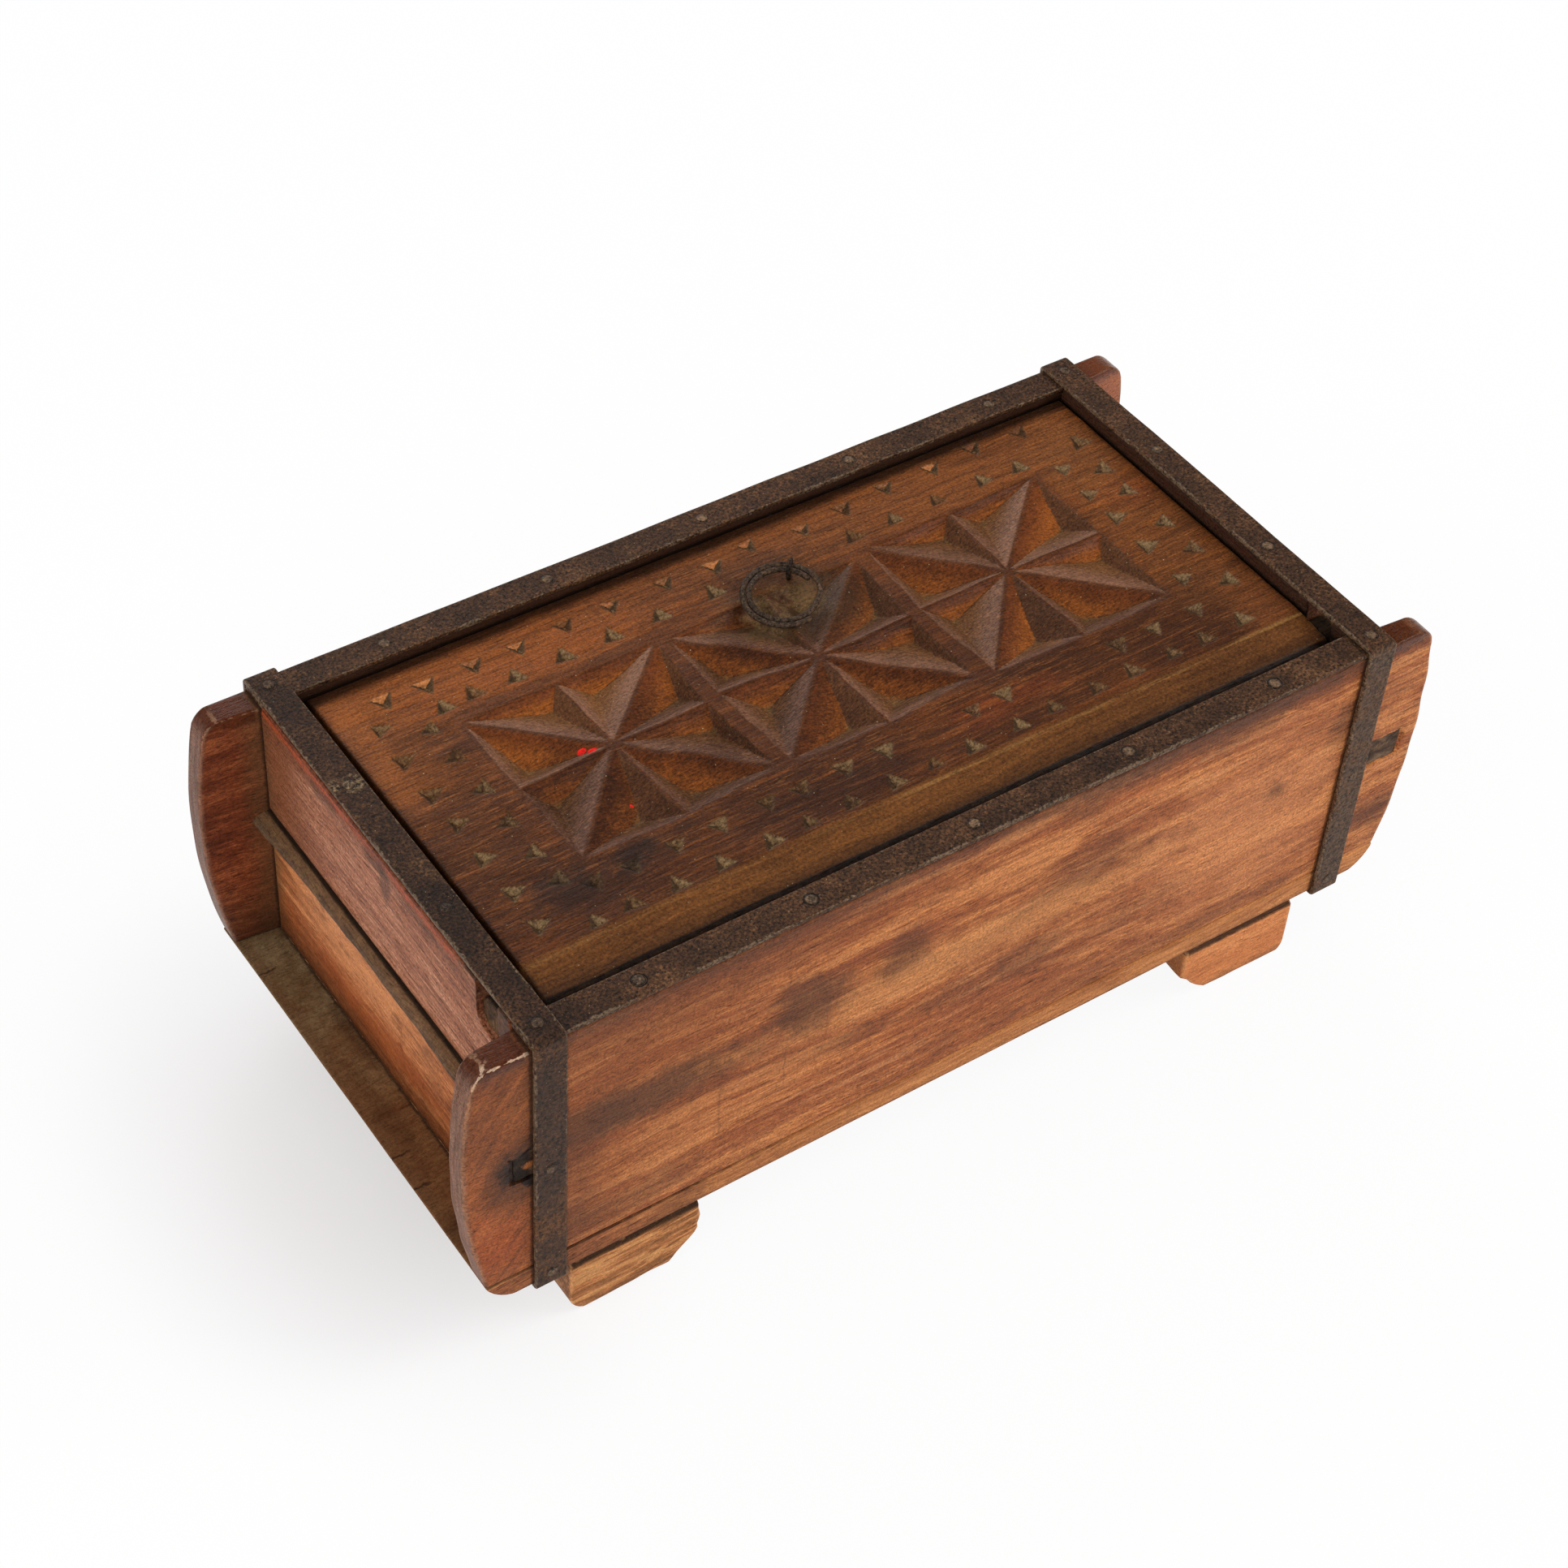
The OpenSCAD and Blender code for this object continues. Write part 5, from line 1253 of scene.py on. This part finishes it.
def make_finishes():
    """Every finish of the box by name: its material, and the record's slot that it stands for."""
    return {
        "front": (timber(
            "front_board_wood", "x", (102, 50, 24), (160, 88, 43), (210, 136, 76), 1.0, (196, 134, 92),
            worn_by=0.45, rough=0.48, marks=front_marks, fine=0.8, stained=0.3, stain=(108, 58, 30),
            gritty=1.9), "side_wood"),
        "rear": (timber(
            "rear_board_wood", "x", (70, 31, 17), (114, 55, 30), (152, 84, 48), 2.0, (166, 108, 78),
            worn_by=0.45, rough=0.42, marks=rear_marks, stain=(58, 30, 20)), "side_wood"),
        "bottom": (timber(
            "bottom_board_wood", "x", (98, 54, 30), (150, 88, 50), (190, 124, 76), 3.0, (196, 134, 86),
            rough=0.55, marks=bottom_marks), "bottom_wood"),
        "upper_end": (timber(
            "upper_end_wood", "y", (104, 58, 38), (150, 92, 64), (178, 122, 92), 4.0, (150, 78, 46), 1.0,
            0.4, 0.5, upper_end_marks, streaky=0.8, stained=0.3, stain=(112, 64, 44), curl=2.0,
            gritty=2.6), "end_wood"),
        "lower_end": (timber(
            "lower_end_wood", "y", (112, 60, 30), (168, 98, 54), (208, 138, 86), 5.0, (206, 138, 88), 0.8,
            rough=0.52, marks=lower_end_marks, stained=0.35, curl=2.0), "end_wood"),
        "rail": (timber(
            "rail_wood", "y", (48, 33, 24), (76, 54, 39), (100, 75, 55), 6.0, (112, 86, 64), worn_by=0.4,
            rough=0.6, marks=rail_marks), "rail_wood"),
        "rest": (timber(
            "lid_rest_wood", "x", (120, 76, 46), (164, 110, 70), (196, 142, 96), 7.0, rough=0.6), "end_wood"),
        "foot": (timber(
            "foot_wood", "x", (140, 80, 42), (196, 124, 70), (224, 158, 100), 8.0, (220, 158, 104),
            worn_by=0.5, rough=0.55, marks=foot_marks, stain=(112, 68, 38)), "foot_wood"),
        "lid": (timber(
            "lid_wood", "x", (48, 25, 9), (84, 45, 17), (120, 69, 28), 9.0, (120, 76, 42), worn_by=0.5,
            rough=0.44, marks=lid_marks, streaky=0.5, fine=0.8, stained=0.35, stain=(50, 28, 16), curl=3.0,
            bump=0.12, gritty=2.0), "lid_wood"),
        "peg": (timber(
            "peg_wood", "x", (58, 38, 22), (98, 68, 42), (132, 98, 62), 10.0, (92, 64, 40), rough=0.7,
            marks=peg_marks, bump=0.3, gritty=2.2), "peg_wood"),
        "strap": (iron("strap_iron", 1.0), "strap_iron"),
        # The nails' edge colour is painted shade in the groove round each head
        "nail": (iron("nail_iron", 2.0, 0.4, (16, 11, 8), (98, 77, 58), 1.0, 0.3, 0.62), "nail_iron"),
        # On the wire and staple the edge colour gives flecks of painted highlight
        "wire": (iron("wire_iron", 3.0, 0.3, (108, 86, 65), (62, 47, 35), 0.35), "wire_iron"),
        "staple": (iron("staple_iron", 4.0, 0.2, (74, 58, 44), (30, 22, 16), 0.2), "wire_iron"),
    }


# Nails

# A nail's profile: radius, and height over the nail's place, from the middle of its head to its point
NAIL = ((0, 0.2), (0.9, 0.2), (1.55, 0.12), (1.85, -0.12), (2.1, 0.02), (2.35, -0.05), (2.4, -0.4),
        (2.2, -1.0), (0.9, -1.15), (0.75, -9.0), (0, -11.5))


def nails(places):
    """Hand-made nails, each at its point and way out: a low head with a ring round it, its shank going in."""
    skins = []
    for i, (place, out) in enumerate(places):
        points, faces = spin(NAIL, 16, 300 + i, 0.05)
        side = np.cross(out, (0.3, 0.5, 0.81))
        side = side / np.linalg.norm(side)
        turn = np.stack([side, np.cross(out, side), out])
        # The groove round the head, where the nail finish lays painted shade
        groove = np.abs(np.hypot(points[:, 0], points[:, 1]) - 1.95)
        skins.append((points @ turn + np.array(place), faces, {"arris": groove}))
    return join(*skins)


def nail_places():
    """Where each set of nails goes, as in the part's source."""
    strap, case, bottom, feet = [], [], [], []
    up, down = (0, 0, 1), (0, 0, -1)
    for left in (-1, 1):
        for front in (-1, 1):
            strap += [((left * CROSS_MID, front * y, LONG_TOP + STRAP_T), up) for y in (25.0, 68.75)]
            strap += [((left * CROSS_MID, front * (OUT_Y + STRAP_T), z), (0, front, 0)) for z in (26.0, 69.0)]
            case += [((left * WALL_MID, front * (OUT_Y - SUNK), z), (0, front, 0)) for z in (48.75, 88.0)]
            bottom += [((left * IN_X * eighths / 8, front * 69.0, SOLE_Z + SUNK), down) for eighths in (1, 3)]
            middle = FOOT_OUT[left] - FOOT_L / 2
            feet += [((left * (middle + x), front * (OUT_Y - FOOT_W / 2), 0.35), down) for x in (-8, 8)]
        bottom += [((left * WALL_MID, y, SOLE_Z + SUNK), down) for y in (-32.25, 0, 32.25)]
    strap += [((i * 51.0 + side * 3.0, side * 68.75, LONG_TOP), up) for i in range(-2, 3) for side in (-1, 1)]
    rest = [((i * 92.0, 56.4, 96.2), (0, -1, 0)) for i in (-1, 0, 1)]
    return {"strap_nails": strap, "case_nails": case, "bottom_nails": bottom, "foot_nails": feet,
            "rest_nails": rest}


# Pegs, staple and ring

def turn_about_z(angle):
    """The turn of places written as rows about the upright axis."""
    cos, sin = math.cos(angle), math.sin(angle)
    return np.array(((cos, sin, 0), (-sin, cos, 0), (0, 0, 1)))


def peg(side):
    """A pivot peg: thick and slightly rounded in its notch, thinner inside the lid."""
    shoulder = abs(LID_LEFT if side < 0 else LID_RIGHT)
    profile = ((0, PEG_X), (4.4, PEG_X - 0.1), (5.0, PEG_X - 0.4), (5.25, PEG_X - 1), (5.25, shoulder + 4),
               (5.25, shoulder + 0.2), (4.0, shoulder + 0.05), (4.0, shoulder - 8), (3.9, shoulder - 19.6),
               (0, shoulder - 19.9))
    points, faces = spin(profile, 36)
    points = spots(side * points[:, 2], -side * points[:, 1], points[:, 0]) + np.array((0, PIVOT_Y, PIVOT_Z))
    return points, faces, {"arris": np.abs(np.abs(points[:, 0]) - PEG_X) + 0.4}


def staple():
    """The staple: a wire whose eye stands over the lid and whose two legs are bent flat under it."""
    leg = LID_UNDER - WIRE_R
    start = np.array(((7.6, 0, leg), (4.0, 0, leg - 0.05), (1.6, 0, leg + 0.02), (0.85, 0, leg + 0.35),
                      (0.65, 0, leg + 1.1), (0.65, 0, 105), (0.65, 0, 110), (0.66, 0, 113.0)))
    angle = np.radians(np.linspace(-62, 242, 50))
    eye = spots(EYE_R * np.cos(angle), 0.0, EYE_Z + EYE_R * np.sin(angle))
    path = np.concatenate([start, eye, start[::-1] * (-1, 1, 1)])
    path[:, 1] += np.linspace(-0.02, 0.02, len(path))
    points, faces, marks = tube(path, WIRE_R, 10)
    return points @ turn_about_z(RING_TURN) + np.array((*STAPLE, 0)), faces, marks


def ring():
    """The ring: one wire wound twice, from the inner turn to the outer one, lying from the staple's eye."""
    degrees = np.linspace(144, 770, 190)
    share = np.clip((degrees - 434) / (144 + 360 - 3 - 434), 0, 1)
    radius = TURN_R + RING_PITCH * (share * share * (3 - 2 * share) - 0.5)
    angle = np.radians(degrees)
    flat = spots(TURN_R + radius * np.cos(angle), radius * np.sin(angle))
    cos, sin = math.cos(RING_TILT), math.sin(RING_TILT)
    tilt = np.array(((cos, 0, -sin), (0, 1, 0), (sin, 0, cos)))
    return tube(flat @ tilt @ turn_about_z(RING_TURN) + np.array((*STAPLE, EYE_Z)), RING_WIRE, 12)


# Assembly

def build_case(finish):
    """The boards, feet, straps and nails of the case."""
    for side, row in ((-1, "front"), (1, "rear")):
        lay("side_board_" + row, "worn", finish[row], *side_board(side))
        lay("strap_long_" + row, "flat", finish["strap"], *strap_long(side))
    lay("bottom_board", "worn", finish["bottom"], *bottom_board())
    for side, word in ((-1, "left"), (1, "right")):
        lay("end_board_upper_" + word, "worn", finish["upper_end"], *upper_end(side))
        lay("end_board_lower_" + word, "worn", finish["lower_end"], *lower_end(side))
        lay("end_rail_" + word, "worn", finish["rail"], *end_rail(side))
        lay("strap_cross_" + word, "bent", finish["strap"], *strap_over(side))
        for way, row in ((-1, "front"), (1, "rear")):
            lay(f"foot_{row}_{word}", "sawn", finish["foot"], *foot(side, way))
    lay("lid_rest", "planed", finish["rest"],
        *board((-110, 110), (56.5, 64.45), (92.2, 100.2), 0.7, (4.0, 2.0, 2.0), 95))
    for name, places in nail_places().items():
        lay(name, "driven", finish["nail"], *nails(places))


def build_lid(finish):
    """The lid with its pegs and staple, and the ring that swings in the staple."""
    lay("lid_board", "carved", finish["lid"], *lid_board(), "lid", 60)
    lay("pivot_peg_left", "turned", finish["peg"], *peg(-1), "lid")
    lay("pivot_peg_right", "turned", finish["peg"], *peg(1), "lid")
    lay("lid_staple", "wire", finish["staple"], *staple(), "lid")
    lay("ring_pull", "wound", finish["wire"], *ring(), "ring")


def white_floor():
    """A white floor that keeps the box's shadow: it glows where the camera or a gloss looks at it."""
    mesh = bpy.data.meshes.new("floor")
    mesh.from_pydata([(-6, -6, 0), (6, -6, 0), (6, 6, 0), (-6, 6, 0)], [], [(0, 1, 2, 3)])
    floor = bpy.data.objects.new("floor", mesh)
    bpy.context.scene.collection.objects.link(floor)
    b = Finish("white_floor")
    camera, glossy, through = (b.shared("LightPath", f"Is {kind} Ray") for kind in (
        "Camera", "Glossy", "Transmission"))
    lit = b.put("BsdfDiffuse", (), {"Color": (0.9, 0.9, 0.912, 1)})
    white = b.put("Emission", (), {"Color": (1, 1, 1, 1), "Strength": 1.0})
    # Beside the box's left end less glow is mixed in, so the floor is darker there: the real shadow, deepened
    # as painted shadow
    share = 0.92 - b.patch((-150, 8, 0), (52, 78, 60), 0.7, 0.0) * 0.48
    b.put_out(b.put("MixShader", (), {0: camera.most(glossy).most(through) * share, 1: lit, 2: white}))
    mesh.materials.append(b.made)


def white_world():
    """A white surround for the camera; glosses see it bright at the horizon and dark above."""
    world = bpy.data.worlds.new("studio")
    bpy.context.scene.world = world
    b = Finish("studio", world)
    camera, glossy, through = (b.shared("LightPath", f"Is {kind} Ray") for kind in (
        "Camera", "Glossy", "Transmission"))
    seen = camera.most(through)
    up = b.put("SeparateXYZ", (), {0: b.shared("TexCoord", "Generated")}, 2)
    sweep = b.step(up, 0.36, 0.04, 0.07, 0.85)
    strength = seen + (1 - seen) * (glossy * sweep + (1 - glossy) * 0.5)
    b.put_out(b.put("Background", (), {"Color": (1, 1, 1, 1), "Strength": strength}), "OutputWorld")


def build_studio():
    """The floor, the surround and four soft lamps."""
    white_floor()
    white_world()
    soft_lamp("key_right", (1.3, -0.75, 1.25), 0.9, 15.0, (1.0, 0.985, 0.96))
    soft_lamp("back_rim", (0.35, 1.5, 0.95), 1.1, 8.0, (0.97, 0.98, 1.0))
    soft_lamp("front_fill", (-1.1, -1.3, 1.0), 1.2, 6.5, (1.0, 0.99, 0.98))
    soft_lamp("left_fill", (-1.42, -0.1, 0.98), 1.1, 9.0, (1.0, 0.985, 0.96))


aim_camera()
finish = make_finishes()
build_case(finish)
build_lid(finish)
build_studio()
bpy.context.scene.view_settings.view_transform = "Standard"
